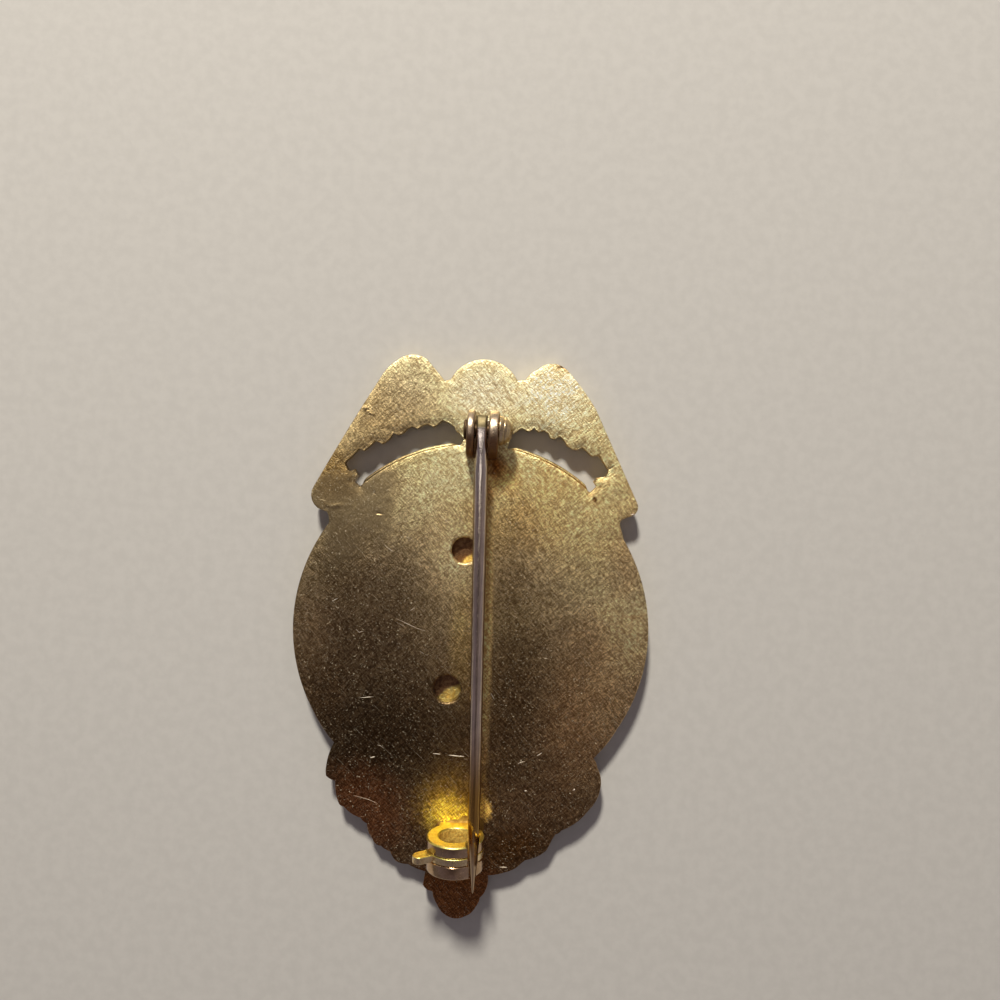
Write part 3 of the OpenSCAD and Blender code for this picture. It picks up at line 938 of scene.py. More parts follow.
def at_catch(x, y, z):
    """A place in the catch's frame, whose Y follows the pin, moved to the plate's."""
    c, s = math.cos(pin_lean), math.sin(pin_lean)
    return catch_c[0] + x * c - y * s, catch_c[1] + x * s + y * c, catch_z + z


def turned(centre, r, start, end, steps):
    """Points of an arc from one angle in degrees to another, both ends included."""
    turns = [math.radians(start + (end - start) * i / steps) for i in range(steps + 1)]
    return [(centre[0] + r * math.cos(t), centre[1] + r * math.sin(t)) for t in turns]


def slot_half(seat_y):
    """Half the width of the slot at a place along the catch: the pin's radius there and a gap."""
    along = pin_run / math.cos(pin_lean) - seat_y - stem_l
    return pin_r - along * (pin_r - tip_r) / point_l + slot_gap


def ring_loop(outer, bore, half, foot):
    """A ring in (x, z) with a slot above the pin, counter-clockwise from the slot's right-hand side."""
    right, left = pin_offset + half, pin_offset - half
    start = math.degrees(math.acos(right / outer)) if right < outer else 0
    end = math.degrees(math.acos(left / outer))
    bottom = -math.degrees(math.acos(foot_half / outer))
    loop = []
    if foot:
        loop += [(-foot_half, -catch_h - sink), (foot_half, -catch_h - sink)]
        loop += turned((0, 0), outer, bottom, start, 30)
    else:
        loop += turned((0, 0), outer, -90, start, 44)
    if right < bore:
        meet = math.degrees(math.acos(right / bore))
    else:
        cross_x = (bore ** 2 + pin_offset ** 2 - half ** 2) / (2 * pin_offset)
        low_end = 4 - math.degrees(math.acos((cross_x - pin_offset) / half))
        loop += [(right, 0.05)]
        loop += turned((pin_offset, 0), half, -4, low_end, 12)
        meet = -math.degrees(math.acos(cross_x / bore))
    top_left = math.degrees(math.acos(left / bore))
    loop += turned((0, 0), bore, meet, -360 + top_left, 56)
    if foot:
        loop += turned((0, 0), outer, end, 180 - bottom, 50)
    else:
        loop += turned((0, 0), outer, end, 270, 50)[:-1]
    return np.array(loop)


def in_bore(point, radius):
    """Whether a point of the catch lies on the wall of its bore."""
    c, s = math.cos(pin_lean), math.sin(pin_lean)
    dx, dy = point.x / MM - catch_c[0], point.y / MM - catch_c[1]
    return math.hypot(dx * c + dy * s, point.z / MM - catch_z) < radius + 0.01


def catch_body():
    """Two flanges on a core, with a foot: soldered to the plate."""
    front_y = gap + rotor_l / 2
    front_end = front_y + front_l
    rear_end = -front_y - rear_l

    def flange(y):
        return ring_loop(flange_r, bore_r, slot_half(y), True)

    shell = prism(flange, front_y, front_end, 0.26, 5)
    shell.add(prism(flange, rear_end, -front_y, 0.2))
    core = ring_loop(core_r, bore_r + 0.001, slot_half(front_y), False)
    shell.add(prism(core, -front_y - 0.2, front_y + 0.2, 0, 1, caps=False))
    foot = box_loop(-foot_half + 0.02, foot_half - 0.02, -catch_h - sink, -2.15, 0.05, 2)
    shell.add(prism(foot, -front_y - 0.3, front_y + 0.3, 0.01, 1))
    obj = shell.moved(at_catch).flipped().piece("catch_rings")
    front = MM * (catch_c[1] + 1.0)
    paint_faces(obj, 1, lambda face: abs(face.normal.y) < 0.5 and in_bore(face.center, bore_r))
    # Faces turned along +Y, towards the key light, get the brighter yellow gilt: painted light and
    # reflection
    return paint_faces(obj, 2, lambda face: face.normal.y > 0.35 and face.center.y > front)


def catch_solder():
    front_end = gap + rotor_l / 2 + front_l
    rear_end = -gap - rotor_l / 2 - rear_l
    loop = box_loop(-foot_half - 0.1, foot_half + 0.1, rear_end, front_end - 0.1, 0.5)
    loop = np.array([at_catch(x, y, 0)[:2] for x, y in loop])
    return skirt(loop, back_z + 0.02, 0.35, 0.8, 9.5).piece("catch_solder")


def rotor():
    """The locking ring with its slot and its lug."""
    half = slot_half(rotor_l / 2)
    loop = ring_loop(rotor_r, core_r + gap, half, False)
    spread = math.asin(lug_t / 2 / rotor_r)
    lug_r = lug_reach - lug_t / 2
    centre = (lug_r * math.cos(lug_angle), lug_r * math.sin(lug_angle))
    turns = np.arctan2(loop[:, 1], loop[:, 0]) % (2 * math.pi)
    away = np.hypot(loop[:, 0], loop[:, 1])
    under = (away > rotor_r - 0.01) & (np.abs(turns - lug_angle) < spread)
    first = int(np.argmax(under))
    degrees = math.degrees(lug_angle)
    end = turned(centre, lug_t / 2, degrees - 90, degrees + 90, 14)
    ways = [lug_angle - spread, lug_angle + spread]
    sides = [[(rotor_r * math.cos(way), rotor_r * math.sin(way))] for way in ways]
    loop = np.vstack([loop[:first], sides[0], end, sides[1], loop[first + int(under.sum()):]])
    shell = prism(loop, -rotor_l / 2, rotor_l / 2, 0.12)
    obj = shell.moved(at_catch).flipped().piece("rotor_ring")
    # Faces turned along +Y, towards the key light, get the brighter yellow gilt: painted light and
    # reflection
    return paint_faces(obj, 1, lambda face: face.normal.y > 0.5)


def seal_front(r, a):
    """Height of the seal's face over the floor: raised star and rays on a sunk field, inside a rim."""
    fifth = math.pi / 5
    wedge = abs((a - math.pi / 2 + fifth) % (2 * fifth) - fifth)
    tip = np.array([star_r, 0.0])
    side = star_r * star_valley * np.array([math.cos(fifth), math.sin(fifth)]) - tip
    normal = np.array([side[1], -side[0]]) / np.linalg.norm(side)
    star = float((tip - r * np.array([math.cos(wedge), math.sin(wedge)])) @ normal)
    half = math.pi / rays
    aside = abs((a + half) % (2 * half) - half) * r
    ray = min(ray_half_w - aside, ray_half_l - abs(r - ray_r))
    rise = star_h * max(float(smooth_step(0, 0.12, ray)), min(1, max(0, star / star_slope)))
    rim_r = seal_r - seal_rim_w
    rim = float(smooth_step(rim_r - 0.15, rim_r + 0.05, r))
    edge = 0.12 * float(smooth_step(seal_r - 0.18, seal_r, r))
    return max(seal_rim_h - rise, 0.1) * (1 - rim) + edge * rim


def seal():
    """The round seal with its relief and a dimpled back."""
    shell = Shell()
    sectors = 240

    def circle(r, height):
        ring = []
        for i in range(sectors):
            a = 2 * math.pi * i / sectors
            x, y = seal_c[0] + r * math.cos(a), seal_c[1] + r * math.sin(a)
            ring.append((x, y, height(x, y, a)))
        return shell.ring(ring)

    def dimpled(x, y, a):
        return seal_t - (0.03 + 0.03 * noise.noise(Vector((x / 0.5, y / 0.5, 2.5))))

    radii = [0.2 + 0.19 * i for i in range(int((seal_r - 0.3) / 0.19))]
    rings = [circle(r, lambda x, y, a: seal_front(r, a)) for r in radii + [seal_r - 0.1, seal_r - 0.03]]
    rings += [circle(seal_r, lambda x, y, a: z) for z in (0.2, 0.5, 0.8)]
    rings += [circle(r, dimpled) for r in [seal_r - 0.08] + radii[::-1]]
    shell.join(rings)
    shell.tip(rings[0], (*seal_c, 0.1), False)
    shell.tip(rings[-1], (*seal_c, seal_t - 0.03), True)
    obj = shell.piece("seal_disc", 60)
    return paint_faces(obj, 1, lambda face: face.normal.z > 0.5)


# Bright scratches on the back: each row is a line of points (x, y) and the width of its middle
scratches = [
    (((-3.9, -14.62), (-3.0, -14.66)), 0.12),
    (((-1.9, -14.72), (-1.0, -14.78), (0.05, -14.8)), 0.14),
    (((-11.7, -15.5), (-11.15, -15.35)), 0.2),
    (((-13.5, -20.3), (-12.6, -20.5), (-11.6, -20.75), (-10.5, -21.2)), 0.05),
    (((-10.9, -13.85), (-10.5, -13.95), (-10.1, -14.2)), 0.07),
    (((9.15, -14.15), (9.45, -14.0), (9.75, -13.75)), 0.14),
    (((6.8, -15.35), (7.2, -15.1), (7.65, -15.0)), 0.09),
    (((7.0, -14.9), (7.3, -15.4)), 0.06),
    (((7.85, -18.68), (8.1, -18.62)), 0.26),
    (((13.9, -18.15), (14.1, -18.05)), 0.2),
    (((5.2, -28.4), (6.1, -28.38)), 0.12),
    (((-9.4, 2.05), (-8.6, 1.75), (-7.7, 1.35), (-6.7, 0.95), (-5.7, 0.7)), 0.08),
    (((-9.3, 1.6), (-8.3, 1.1)), 0.05),
    (((-11.35, 11.2), (-10.9, 10.85), (-10.2, 10.4)), 0.09),
    (((-9.2, 12.4), (-8.5, 12.3), (-7.8, 11.95)), 0.06),
    (((-17.5, 3.85), (-16.8, 4.25)), 0.11),
    (((-13.4, -8.05), (-12.5, -7.95), (-11.7, -7.85)), 0.1),
    (((-4.9, 15.5), (-4.1, 14.9), (-3.4, 14.3)), 0.06),
    (((-2.4, 15.2), (-1.4, 14.2)), 0.04),
    (((3.6, 15.4), (4.4, 14.6)), 0.05),
    (((2.9, -6.6), (3.4, -7.4)), 0.09),
    (((-7.3, 9.3), (-6.6, 8.9)), 0.05),
    (((-12.9, 18.0), (-13.2, 17.2)), 0.07),
    (((-6.2, -1.9), (-5.7, -2.2)), 0.06),
    (((5.1, 3.2), (5.9, 2.9)), 0.04),
    (((11.6, 4.3), (12.9, 3.6)), 0.04),
    (((-14.3, 0.5), (-13.9, 0.1)), 0.08),
    (((-13.95, 0.12), (-13.4, 0.3)), 0.08),
    (((-7.7, 3.15), (-7.3, 3.4), (-7.1, 3.6)), 0.1),
    (((19.25, 16.62), (19.6, 16.75)), 0.22),
]


def scratch_burrs():
    """Thin raised burrs along the scratches, sunk a little into the plate."""
    shell = Shell()
    for line, width in scratches:
        line = resampled(np.array(line), 0.16, False)
        count = len(line)
        ways = unit(np.gradient(line, axis=0))
        sides = np.c_[-ways[:, 1], ways[:, 0]]
        rings = []
        for i, (p, side) in enumerate(zip(line, sides)):
            t = (i + 0.35) / (count - 0.3)
            half = 0.32 * width * math.sin(math.pi * min(max(t, 0.08), 0.92)) ** 0.6
            half *= 1 + 0.35 * noise.noise(Vector((p[0] * 3, p[1] * 3, 0.5)))
            z = bend_axis_z - math.sqrt(bend_r ** 2 - p[0] ** 2) + 0.012
            a, b = p - side * half, p + side * half
            low, top = z - 0.08, z + 0.022 + 0.1 * half
            rings.append(shell.ring([(*a, low), (*b, low), (*b, z), (*p, top), (*a, z)]))
        shell.join(rings, swapped=True)
        shell.cap(rings[0], True)
        shell.cap(rings[-1], False)
    return shell.flipped().piece("scratch_burrs", 30)


# Materials
class Nodes:
    """A node tree built from short calls."""

    def __init__(self, tree):
        self.tree = tree

    def node(self, kind, values=(), output=0, **settings):
        made = self.tree.nodes.new("ShaderNode" + kind)
        for key, value in settings.items():
            setattr(made, key, value)
        items = values.items() if isinstance(values, dict) else enumerate(values)
        for key, value in items:
            if value is None:
                continue
            if isinstance(value, bpy.types.NodeSocket):
                self.tree.links.new(value, made.inputs[key])
            else:
                made.inputs[key].default_value = value
        return made.outputs[output]

    def math(self, operation, a, b=0.0, clamp=False):
        return self.node("Math", (a, b), operation=operation, use_clamp=clamp)

    def plus(self, a, b, factor=1.0, clamp=False):
        """The sum a + factor * b."""
        if factor != 1:
            b = self.math("MULTIPLY", b, factor)
        return self.math("ADD", a, b, clamp)

    def swing(self, value, factor):
        """How far a value is from 0.5, times a factor."""
        return self.math("MULTIPLY", self.math("SUBTRACT", value, 0.5), factor)

    def span(self, value, low, high, to_low=0.0, to_high=1.0):
        """A value mapped smoothly from one span to another."""
        values = (value, low, high, to_low, to_high)
        return self.node("MapRange", values, interpolation_type="SMOOTHSTEP")

    def mix(self, factor, a, b, blend="MIX"):
        return self.node("Mix", {0: factor, 6: a, 7: b}, output=2, data_type="RGBA", blend_type=blend)

    def tint(self, color, mask, paint, amount=1.0, blend="MIX"):
        """A colour mixed with a second one, as far as a mask times an amount says."""
        if amount < 1:
            mask = self.math("MULTIPLY", mask, amount)
        return self.mix(mask, color, (*paint, 1), blend)

    def shaded(self, color, value):
        """A colour times a brightness."""
        return self.mix(1.0, color, self.node("CombineColor", (value, value, value)), "MULTIPLY")

    def ramp(self, value, stops):
        made = self.tree.nodes.new("ShaderNodeValToRGB")
        self.tree.links.new(value, made.inputs[0])
        points = made.color_ramp.elements
        while len(points) < len(stops):
            points.new(1.0)
        for point, (place, color) in zip(points, stops):
            point.position = place
            point.color = (*color, 1)
        return made.outputs[0]


class Look(Nodes):
    """The nodes of a new material. Coordinates are millimetres in the piece's own frame."""

    def __init__(self, name):
        self.material = bpy.data.materials.new(name)
        self.material.use_nodes = True
        super().__init__(self.material.node_tree)
        self.tree.nodes.clear()
        out = self.tree.nodes.new("ShaderNodeOutputMaterial")
        self.shader = self.tree.nodes.new("ShaderNodeBsdfPrincipled")
        self.tree.links.new(self.shader.outputs[0], out.inputs[0])
        place = self.node("TexCoord", output="Object")
        self.at = self.node("VectorMath", (place, None, None, 1 / MM), operation="SCALE")

    def noise(self, size, detail=3.0, rough=0.55):
        """Noise from 0 to 1 with features of about size millimetres."""
        values = {"Vector": self.at, "Scale": 1 / size, "Detail": detail, "Roughness": rough}
        return self.node("TexNoise", values)

    def axis(self, name):
        return self.node("SeparateXYZ", (self.at,), output="XYZ".index(name))

    def moved(self, turn, size, centre=(0, 0)):
        """Coordinates in a frame that is moved to a centre, turned and made as large as size."""
        values = {"Vector": self.at, "Location": (*centre, 0), "Scale": size}
        values["Rotation"] = (0, 0, math.radians(turn))
        return self.node("Mapping", values, vector_type="TEXTURE")

    def spot(self, centre, size, soft=0.5, turn=0.0, ragged=0.25, grain=1.2):
        """1 inside an ellipse on the plate's back and 0 outside, with a ragged soft edge."""
        place = self.moved(turn, (*size, 1e4), centre)
        away = self.node("VectorMath", (place,), output=1, operation="LENGTH")
        rough = self.node("Math", (self.noise(grain), ragged * 2, -ragged), operation="MULTIPLY_ADD")
        return self.span(self.plus(away, rough), 1 + soft, 1 - soft)

    def streaks(self, turn, length, width, low, high):
        """Fine scratches that run at an angle."""
        place = self.moved(turn, (length, width, length))
        values = {"Vector": place, "Scale": 1.0, "Detail": 2.0, "Roughness": 0.6}
        return self.span(self.node("TexNoise", values), low, high)

    def scratches(self, *rows):
        """The strongest of several sets of streaks."""
        strongest = self.streaks(*rows[0])
        for row in rows[1:]:
            strongest = self.math("MAXIMUM", strongest, self.streaks(*row))
        return strongest

    def bump(self, height, depth, under=None):
        """Bumps of a depth in millimetres over other bumps."""
        values = {"Strength": 1.0, "Distance": depth * MM, "Height": height}
        if under is not None:
            values["Normal"] = under
        return self.node("Bump", values)

    def finish(self, color, roughness, normal, metallic=1.0):
        shader = self.shader
        if isinstance(metallic, float):
            shader.inputs["Metallic"].default_value = metallic
        else:
            self.tree.links.new(metallic, shader.inputs["Metallic"])
        self.tree.links.new(color, shader.inputs["Base Color"])
        self.tree.links.new(roughness, shader.inputs["Roughness"])
        self.tree.links.new(normal, shader.inputs["Normal"])
        return self.material


# Tarnish and wear of the back, mixed with painted light and shade: middle, size, turn, softness, and how
# much of each colour is left
tarnish_and_painted_light = [
    ((-14.0, 3.0), (8.5, 12.0), 0, 0.7, (0.44, 0.41, 0.42)),
    ((-12.5, 26.0), (6.0, 6.5), -30, 0.7, (0.58, 0.53, 0.49)),
    ((-18.0, 19.5), (3.0, 3.5), 0, 0.7, (0.55, 0.46, 0.34)),
    ((-18.0, 9.5), (3.0, 4.0), 0, 0.8, (0.68, 0.68, 0.68)),
    ((-10.0, 8.5), (4.5, 3.5), 0, 0.8, (0.75, 0.74, 0.76)),
    ((5.5, 8.5), (4.0, 3.5), 0, 0.8, (0.82, 0.80, 0.82)),
    ((15.0, 8.0), (6.5, 3.0), 0, 0.8, (0.83, 0.85, 0.87)),
    ((-19.5, 0.0), (2.5, 4.0), 0, 0.8, (1.40, 1.40, 1.40)),
    ((-3.0, 9.0), (2.8, 3.5), 0, 0.8, (1.40, 1.42, 1.45)),
    ((5.3, 2.0), (3.0, 13.0), 4, 0.8, (0.60, 0.57, 0.53)),
    # A lighter strip beside the pin: wear and painted reflection of the pin
    ((-1.0, -1.5), (1.4, 6.0), 2, 0.7, (1.5, 1.5, 1.2)),
    ((16.5, -7.0), (5.0, 11.0), -10, 0.8, (1.75, 1.68, 1.60)),
    ((12.5, -11.0), (4.0, 5.5), 0, 0.8, (1.30, 1.32, 1.35)),
    ((19.5, 11.5), (2.6, 7.5), 0, 0.8, (0.76, 0.70, 0.70)),
    ((-10.5, -13.5), (9.0, 6.5), 20, 0.7, (0.43, 0.42, 0.42)),
    ((8.0, -21.0), (4.5, 3.0), 0, 0.8, (1.25, 1.22, 1.22)),
    ((4.0, 15.5), (5.5, 3.5), 0, 0.8, (0.84, 0.77, 0.66)),
    ((-4.0, 14.5), (3.0, 3.0), 0, 0.8, (0.92, 0.88, 0.88)),
    ((8.0, 21.3), (6.0, 2.4), -20, 0.8, (1.10, 1.03, 0.92)),
    ((9.0, 31.5), (4.0, 3.5), -20, 0.8, (1.35, 1.40, 1.55)),
    ((0.0, 30.8), (3.5, 3.0), 0, 0.8, (1.02, 1.07, 1.30)),
    ((-9.0, 31.5), (4.0, 4.0), 0, 0.8, (0.82, 0.84, 0.92)),
    ((14.0, 17.5), (9.0, 8.0), 0, 0.6, (1.00, 0.92, 0.82)),
    ((-7.5, 22.5), (4.0, 1.6), 22, 0.8, (1.20, 1.22, 1.18)),
    ((6.5, -26.0), (4.0, 2.2), 20, 0.8, (0.85, 0.66, 0.44)),
    # Painted shadow of the hinge, its browner soft edge, and the pin's painted shadow near it
    ((1.6, 21.9), (1.7, 1.5), 0, 0.7, (0.25, 0.15, 0.09)),
    ((2.6, 20.5), (2.1, 2.0), 0, 0.6, (1.20, 0.95, 0.66)),
    ((1.45, 18.1), (0.5, 1.3), 5, 0.5, (0.40, 0.24, 0.12)),
    # Painted shade below the catch, towards the tip
    ((-0.4, -29.6), (4.2, 1.6), 0, 0.6, (0.30, 0.22, 0.15)),
]


# Stains, places of other finish, and painted light, reflection and shade: middle, size, softness, turn,
# raggedness and grain, then amount and colour
stains_and_painted_light = {
    "smooth": (((-15.8, 15.6), (6.0, 5.0), 0.25, 25, 0.7, 3.6), 0.6, (0.30, 0.22, 0.12)),
    # Painted reddish reflection at the lower left
    "painted_red_reflection": (((-12.0, -22.0), (5.5, 4.4), 0.6, -35, 0.3, 2.5), 0.65, (0.34, 0.125, 0.045)),
    # Dark red-brown tip: painted dark reflection and shade
    "foot": (((0.0, -32.5), (6.5, 4.6), 0.5, 0, 0.3, 2.0), 0.8, (0.27, 0.10, 0.03)),
    # Gold in front of the catch, in three patches: painted light thrown onto the plate by the catch's front
    # ring; the clean patch is also rougher and less metallic gilt, and the right one less metallic
    "painted_catch_halo": (((-1.6, -21.6), (4.2, 3.7), 0.4, 0, 0.6, 0.6), 0.5, (0.55, 0.33, 0.07)),
    "clean": (((-1.7, -22.5), (2.75, 2.8), 0.28, 0, 0.6, 0.7), 1.0, (0.88, 0.585, 0.085)),
    "painted_glow_right": (((2.95, -21.3), (0.75, 1.4), 0.5, 10, 0.5, 0.5), 1.0, (1.0, 0.62, 0.13)),
    # Painted light bounced between the pin and the plate, in the strip of the pin's shadow
    "painted_pin_bounce": (((2.0, 1.5), (0.6, 17.0), 0.6, 1.95, 0.35, 1.5), 1.0, (0.95, 0.66, 0.28)),
    "dent": (((14.65, 18.3), (0.26, 0.36), 0.3, 20, 0.7, 0.25), 1.0, (0.24, 0.13, 0.05)),
    "lobe": (((9.6, 34.6), (0.75, 0.3), 0.4, -15, 0.5, 0.3), 0.7, (0.28, 0.14, 0.05)),
}


def aged_gilt():
    """Satin gilt of the plate: pale at the wings, brown lower down from tarnish and painted shade, with
    painted light, reflection and shade in places, sandy and scratched.
    """
    look = Look("aged_gilt")
    y = look.axis("Y")
    blotch = look.noise(2.6, 4.0, 0.62)
    grain = look.noise(0.14, 2.0, 0.6)

    # Darker towards the bottom, with random blotches: tarnish together with painted shade
    age_and_painted_shade = look.plus(look.span(y, 24.0, -16.0), look.swing(look.noise(9.0, 4.0, 0.6), 0.55))
    age_and_painted_shade = look.plus(age_and_painted_shade, look.swing(blotch, 0.35))
    # Lighter towards the right-hand edge: painted sheen
    age_and_painted_shade = look.plus(age_and_painted_shade, look.span(look.axis("X"), 12.0, 22.0), -0.22, True)
    color = look.ramp(age_and_painted_shade, (
        (0.0, (0.90, 0.74, 0.40)),
        (0.3, (0.70, 0.54, 0.285)),
        (0.6, (0.37, 0.265, 0.14)),
        (1.0, (0.21, 0.13, 0.062)),
    ))
    for centre, size, turn, soft, shade in tarnish_and_painted_light:
        color = look.tint(color, look.spot(centre, size, soft, turn, 0.35, 2.2), shade, blend="MULTIPLY")
    masks = {}
    for name, (spot, amount, paint) in stains_and_painted_light.items():
        masks[name] = look.spot(*spot)
        color = look.tint(color, masks[name], paint, amount)

    hatch = look.plus(look.streaks(-47, 0.85, 0.11, 0.30, 0.70), look.streaks(44, 0.7, 0.11, 0.30, 0.70))
    sand = look.plus(look.math("MULTIPLY", grain, 0.5), hatch, 0.25)
    facing = look.node("SeparateXYZ", (look.node("NewGeometry", output=1),), output=2)
    level = look.span(look.math("ABSOLUTE", facing), 0.3, 0.9, 0.15, 1.0)
    calm = look.math("MULTIPLY", look.plus(1.0, masks["smooth"], -0.7), level)
    sand = look.plus(look.swing(sand, calm), 0.5)
    speck = look.ramp(sand, (
        (0.34, (0.50, 0.43, 0.34)),
        (0.5, (0.81, 0.80, 0.76)),
        (0.66, (1.80, 1.80, 1.72)),
    ))
    color = look.mix(1.0, color, speck, "MULTIPLY")
    spark = look.span(look.noise(0.2, 2.0, 0.7), 0.64, 0.70)
    color = look.tint(color, spark, (1.0, 0.86, 0.58), 0.85)

    scratch = look.scratches(
        (-43, 3.6, 0.09, 0.68, 0.75),
        (52, 2.4, 0.07, 0.70, 0.77),
        (-12, 4.0, 0.08, 0.72, 0.79),
    )
    color = look.tint(color, scratch, (0.95, 0.82, 0.55), 0.5)
    groove = look.scratches((-46, 3.2, 0.11, 0.68, 0.74), (60, 2.0, 0.08, 0.71, 0.77))
    color = look.tint(color, groove, (0.30, 0.22, 0.12), 0.55, "MULTIPLY")

    roughness = look.span(y, 30.0, -25.0, 0.47, 0.34)
    roughness = look.plus(roughness, look.span(blotch, 0.3, 0.7, -0.05, 0.04))
    roughness = look.plus(roughness, spark, 0.22)
    roughness = look.plus(roughness, masks["clean"], 0.12)
    metal = look.plus(1.0, masks["painted_glow_right"], -0.8)
    metal = look.plus(metal, masks["clean"], -0.25)
    metal = look.plus(metal, spark, -0.35, True)

    normal = look.bump(look.plus(look.swing(grain, calm), 0.5), 0.055)
    normal = look.bump(scratch, 0.012, normal)
    normal = look.bump(look.noise(1.6), 0.06, normal)
    return look.finish(color, roughness, normal, metal)


def gilt(name, clean, worn, size, roughness, depth, metallic=1.0, shade_below=None, painted_shade=None):
    """Polished gilt of the small parts, worn towards a second colour and finely scratched."""
    look = Look(name)
    wear = look.span(look.noise(size, 4.0, 0.6), 0.35, 0.68)
    color = look.mix(wear, (*clean, 1), (*worn, 1))
    # Painted shade, where asked: darker from a given Y downwards
    if painted_shade:
        low = look.span(look.axis("Y"), shade_below, shade_below - 2.0)
        color = look.tint(color, low, painted_shade, blend="MULTIPLY")
    grain = look.noise(0.22, 3.0, 0.65)
    color = look.shaded(color, look.span(grain, 0.3, 0.7, 0.86, 1.1))
    rough = look.plus(look.span(look.noise(0.6), 0.3, 0.7, roughness, roughness + 0.12), wear, 0.05)
    scratch = look.scratches((80, 1.4, 0.05, 0.68, 0.76), (20, 1.1, 0.05, 0.69, 0.77))
    normal = look.bump(grain, depth)
    normal = look.bump(scratch, 0.008, normal)
    normal = look.bump(look.noise(0.9, 2.0), depth * 1.5, normal)
    return look.finish(color, rough, normal, metallic)


def hole_floor():
    """Back of the seal, seen in the holes: painted shadow over each, painted light on the gilt at its lower
    right.
    """
    look = Look("hole_floor")
    grit = look.noise(0.35, 3.0, 0.6)
    # Painted shadow: dark gilt over the whole floor
    color = look.mix(look.span(grit, 0.35, 0.65), (0.30, 0.17, 0.08, 1), (0.16, 0.08, 0.04, 1))
    # Painted light: bright gilt where the key light would reach
    bright = look.mix(look.span(grit, 0.4, 0.62), (1.0, 0.82, 0.28, 1), (0.75, 0.52, 0.13, 1))
    for (x, y, r), (right, down) in zip(holes, ((0.95, 1.45), (0.4, 1.0))):
        lit = look.spot((x + right, y - down), (r, 0.8), 0.25, 36, 0.3, 0.6)
        color = look.mix(lit, color, bright)
    rough = look.span(grit, 0.3, 0.7, 0.35, 0.6)
    return look.finish(color, rough, look.bump(grit, 0.12))


def drawn_metal():
    """Drawn wire of the pin: thin gilt over grey metal, with fine marks along it, and with painted light and
    shade: a painted highlight near the hinge, dark sides there, a painted reflection of the gilt towards the
    catch and painted light inside the catch.
    """
    look = Look("pin_metal")
    y = look.axis("Y")
    wear = look.span(look.noise(2.2, 4.0, 0.6), 0.35, 0.65)
    color = look.mix(wear, (0.78, 0.64, 0.51, 1), (0.92, 0.75, 0.59, 1))
    # Painted highlight: lighter towards the hinge
    color = look.tint(color, look.span(y, 15.0, 23.0), (0.88, 0.76, 0.66))
    # Painted reflection of the gilt plate: browner towards the catch
    color = look.tint(color, look.span(y, -8.0, -19.0), (0.50, 0.27, 0.05), 0.95)
    # Painted light on the part inside the catch
    locked = look.span(y, -21.5, -25.5)
    color = look.tint(color, locked, (0.74, 0.55, 0.33))
    end = look.span(y, 25.9, 26.4)
    color = look.tint(color, end, (0.17, 0.13, 0.04), 0.9)
    lean = math.tan(pin_lean)
    aside = look.math("SUBTRACT", look.plus(look.axis("X"), y, lean), hinge_c[0] + hinge_c[1] * lean)
    # Painted shade: dark sides of the wire near the hinge
    flank_shade = look.span(look.math("ABSOLUTE", aside), 0.70, 0.82)
    flank_shade = look.math("MULTIPLY", flank_shade, look.span(y, 22.5, 20.5))
    color = look.tint(color, flank_shade, (0.13, 0.08, 0.05), 0.75)
    along = look.streaks(90, 5.0, 0.09, 0.35, 0.75)
    color = look.shaded(color, look.span(along, 0.0, 1.0, 0.82, 1.1))
    rough = look.span(look.noise(0.5), 0.3, 0.7, 0.13, 0.22)
    rough = look.plus(rough, end, 0.35)
    rough = look.plus(rough, locked, 0.2)
    normal = look.bump(along, 0.006)
    normal = look.bump(look.noise(0.3), 0.008, normal)
    return look.finish(color, rough, normal)


def floor_paint():
    look = Look("floor_paint")
    tone = look.span(look.noise(1.4, 4.0), 0.3, 0.7, 0.97, 1.03)
    color = look.shaded((0.60, 0.58, 0.53, 1), tone)
    look.shader.inputs["Metallic"].default_value = 0.0
    look.shader.inputs["Specular IOR Level"].default_value = 0.2
    look.shader.inputs["Roughness"].default_value = 0.9
    look.tree.links.new(color, look.shader.inputs["Base Color"])
    return look.material


# Stage
def camera():
    data = bpy.data.cameras.new("camera")
    data.sensor_width = 36.0
    data.lens = 27.04
    data.clip_start = 0.001
    obj = bpy.data.objects.new("camera", data)
    obj.location = (2.8 * MM, 17.6 * MM, 96.5 * MM)
    obj.rotation_euler = (0, 0, math.radians(3.07))
    bpy.context.scene.collection.objects.link(obj)
    bpy.context.scene.camera = obj


def area_light(name, toward, far, size, power, color):
    data = bpy.data.lights.new(name, "AREA")
    data.shape = "ELLIPSE"
    data.size, data.size_y = size
    data.energy = power
    data.color = color
    obj = bpy.data.objects.new(name, data)
    back = Vector(toward).normalized()
    side = Vector((0, 1, 0)).cross(back).normalized()
    obj.location = back * far
    obj.rotation_euler = Matrix((side, back.cross(side), back)).transposed().to_euler()
    bpy.context.scene.collection.objects.link(obj)


def floor():
    half = 3.0
    mesh = bpy.data.meshes.new("floor")
    corners = [(-half, -half, 0), (half, -half, 0), (half, half, 0), (-half, half, 0)]
    mesh.from_pydata(corners, [], [(0, 1, 2, 3)])
    obj = bpy.data.objects.new("floor", mesh)
    obj.location.z = -0.02 * MM
    bpy.context.scene.collection.objects.link(obj)
    mesh.materials.append(floor_paint())


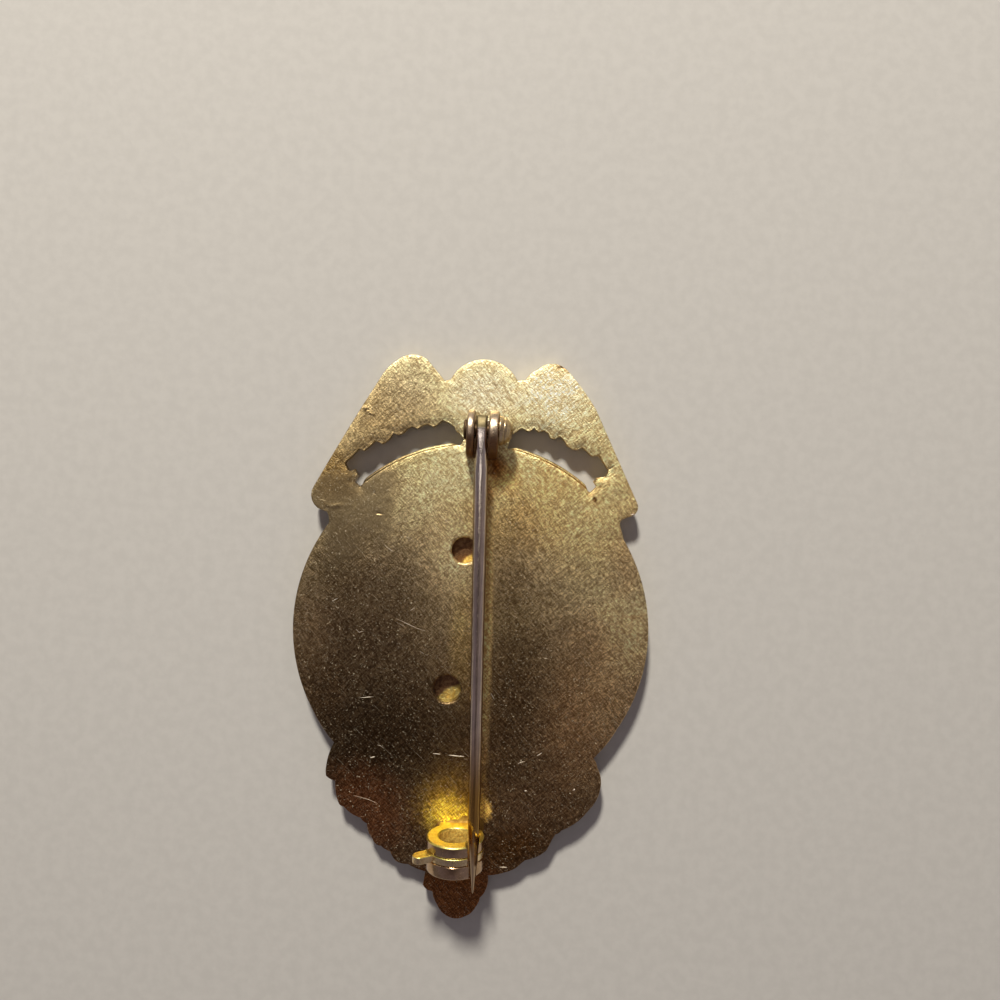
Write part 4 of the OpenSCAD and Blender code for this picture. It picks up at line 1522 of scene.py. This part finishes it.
def world():
    """Dim overhead, pale towards the horizon, a little brighter over the right-hand side."""
    made = bpy.data.worlds.new("studio")
    bpy.context.scene.world = made
    made.use_nodes = True
    nodes = Nodes(made.node_tree)
    way = nodes.node("TexCoord", output="Generated")
    color = nodes.ramp(nodes.node("SeparateXYZ", (way,), output="Z"), (
        (0.0, (0.17, 0.16, 0.165)),
        (0.5, (0.14, 0.122, 0.145)),
        (0.84, (0.125, 0.105, 0.13)),
        (0.93, (0.075, 0.06, 0.068)),
        (1.0, (0.05, 0.04, 0.042)),
    ))
    side = nodes.span(nodes.node("SeparateXYZ", (way,), output="X"), -0.06, 0.3, 0.0, 0.05)
    color = nodes.mix(side, color, (1.0, 0.92, 0.8, 1), "ADD")
    nodes.tree.links.new(color, nodes.tree.nodes["Background"].inputs[0])


def put(obj, body, materials, slot, *nodes):
    """Gives a piece its materials and body, and names the nodes that it replaces; the slot is not used."""
    for material in materials if isinstance(materials, tuple) else (materials,):
        obj.data.materials.append(material)
    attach(obj, body)
    if nodes:
        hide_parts(*nodes)


plate_gilt = aged_gilt()
catch_gilt = gilt("catch_gilt", (0.62, 0.43, 0.27), (0.50, 0.33, 0.18), 1.6, 0.08, 0.006)
# Brighter yellow gilt for the faces turned towards the key light: painted light and reflection
lit_face_gilt = gilt("lit_face_gilt", (1.0, 0.90, 0.27), (0.94, 0.76, 0.18), 0.7, 0.28, 0.02)
rotor_gilt = gilt("rotor_gilt", (0.95, 0.75, 0.42), (0.70, 0.51, 0.27), 0.6, 0.2, 0.035)
# Painted shade deeper inside the catch's bore
bore_painted_shade = (-24.0, (0.25, 0.15, 0.10))
bore_gilt = gilt("bore_gilt", (1.0, 0.72, 0.16), (0.66, 0.38, 0.06), 0.3, 0.5, 0.12, 0.4, *bore_painted_shade)
# Painted shade on the hinge's ears: darker on the side towards -Y
hinge_painted_shade = (26.3, (0.55, 0.38, 0.24))
hinge_gilt = gilt("hinge_gilt", (0.58, 0.46, 0.33), (0.46, 0.34, 0.23), 1.2, 0.25, 0.014, 1.0, *hinge_painted_shade)
rivet_gilt = gilt("rivet_gilt", (0.72, 0.56, 0.33), (0.58, 0.43, 0.24), 0.8, 0.22, 0.012)
tail_metal = gilt("tail_metal", (0.15, 0.10, 0.055), (0.10, 0.06, 0.03), 0.6, 0.5, 0.02)
solder_gilt = gilt("solder_gilt", (0.50, 0.31, 0.07), (0.36, 0.20, 0.045), 0.5, 0.55, 0.06)
seal_gilt = gilt("seal_gilt", (0.95, 0.70, 0.24), (0.80, 0.55, 0.17), 1.5, 0.24, 0.03)
floor_gilt = hole_floor()
burr_gilt = gilt("burr_gilt", (0.85, 0.76, 0.60), (0.66, 0.56, 0.42), 0.5, 0.5, 0.01, 0.45)
wire = drawn_metal()

camera()
put(plate().piece("struck_plate"), "badge", plate_gilt, "aged_gilt", "badge_plate")
put(hinge_bracket(), "badge", hinge_gilt, "aged_gilt", "badge_plate")
put(hinge_solder(), "badge", plate_gilt, "aged_gilt", "badge_plate")
put(catch_body(), "badge", (catch_gilt, bore_gilt, lit_face_gilt), "catch_gilt", "badge_plate")
put(catch_solder(), "badge", solder_gilt, "catch_gilt", "badge_plate")
put(scratch_burrs(), "badge", burr_gilt, "aged_gilt")
put(seal(), "badge", (seal_gilt, floor_gilt), "seal_gilt", "centre_seal")
put(hinge_rivet(), "badge", (rivet_gilt, tail_metal), "pin_metal", "hinge_rivet")
put(pin_piece(), "pin", wire, "pin_metal", "pin")
put(rotor(), "rotor", (rotor_gilt, lit_face_gilt), "catch_gilt", "catch_rotor")

floor()
world()
area_light("key", (-0.15, 0.79, 0.60), 0.6, (0.08, 0.08), 4.0, (1.0, 0.955, 0.88))
area_light("lamp", (-0.15, 0.11, 0.98), 0.9, (0.40, 0.12), 0.22, (1.0, 0.97, 0.95))
bpy.context.scene.view_settings.view_transform = "Standard"
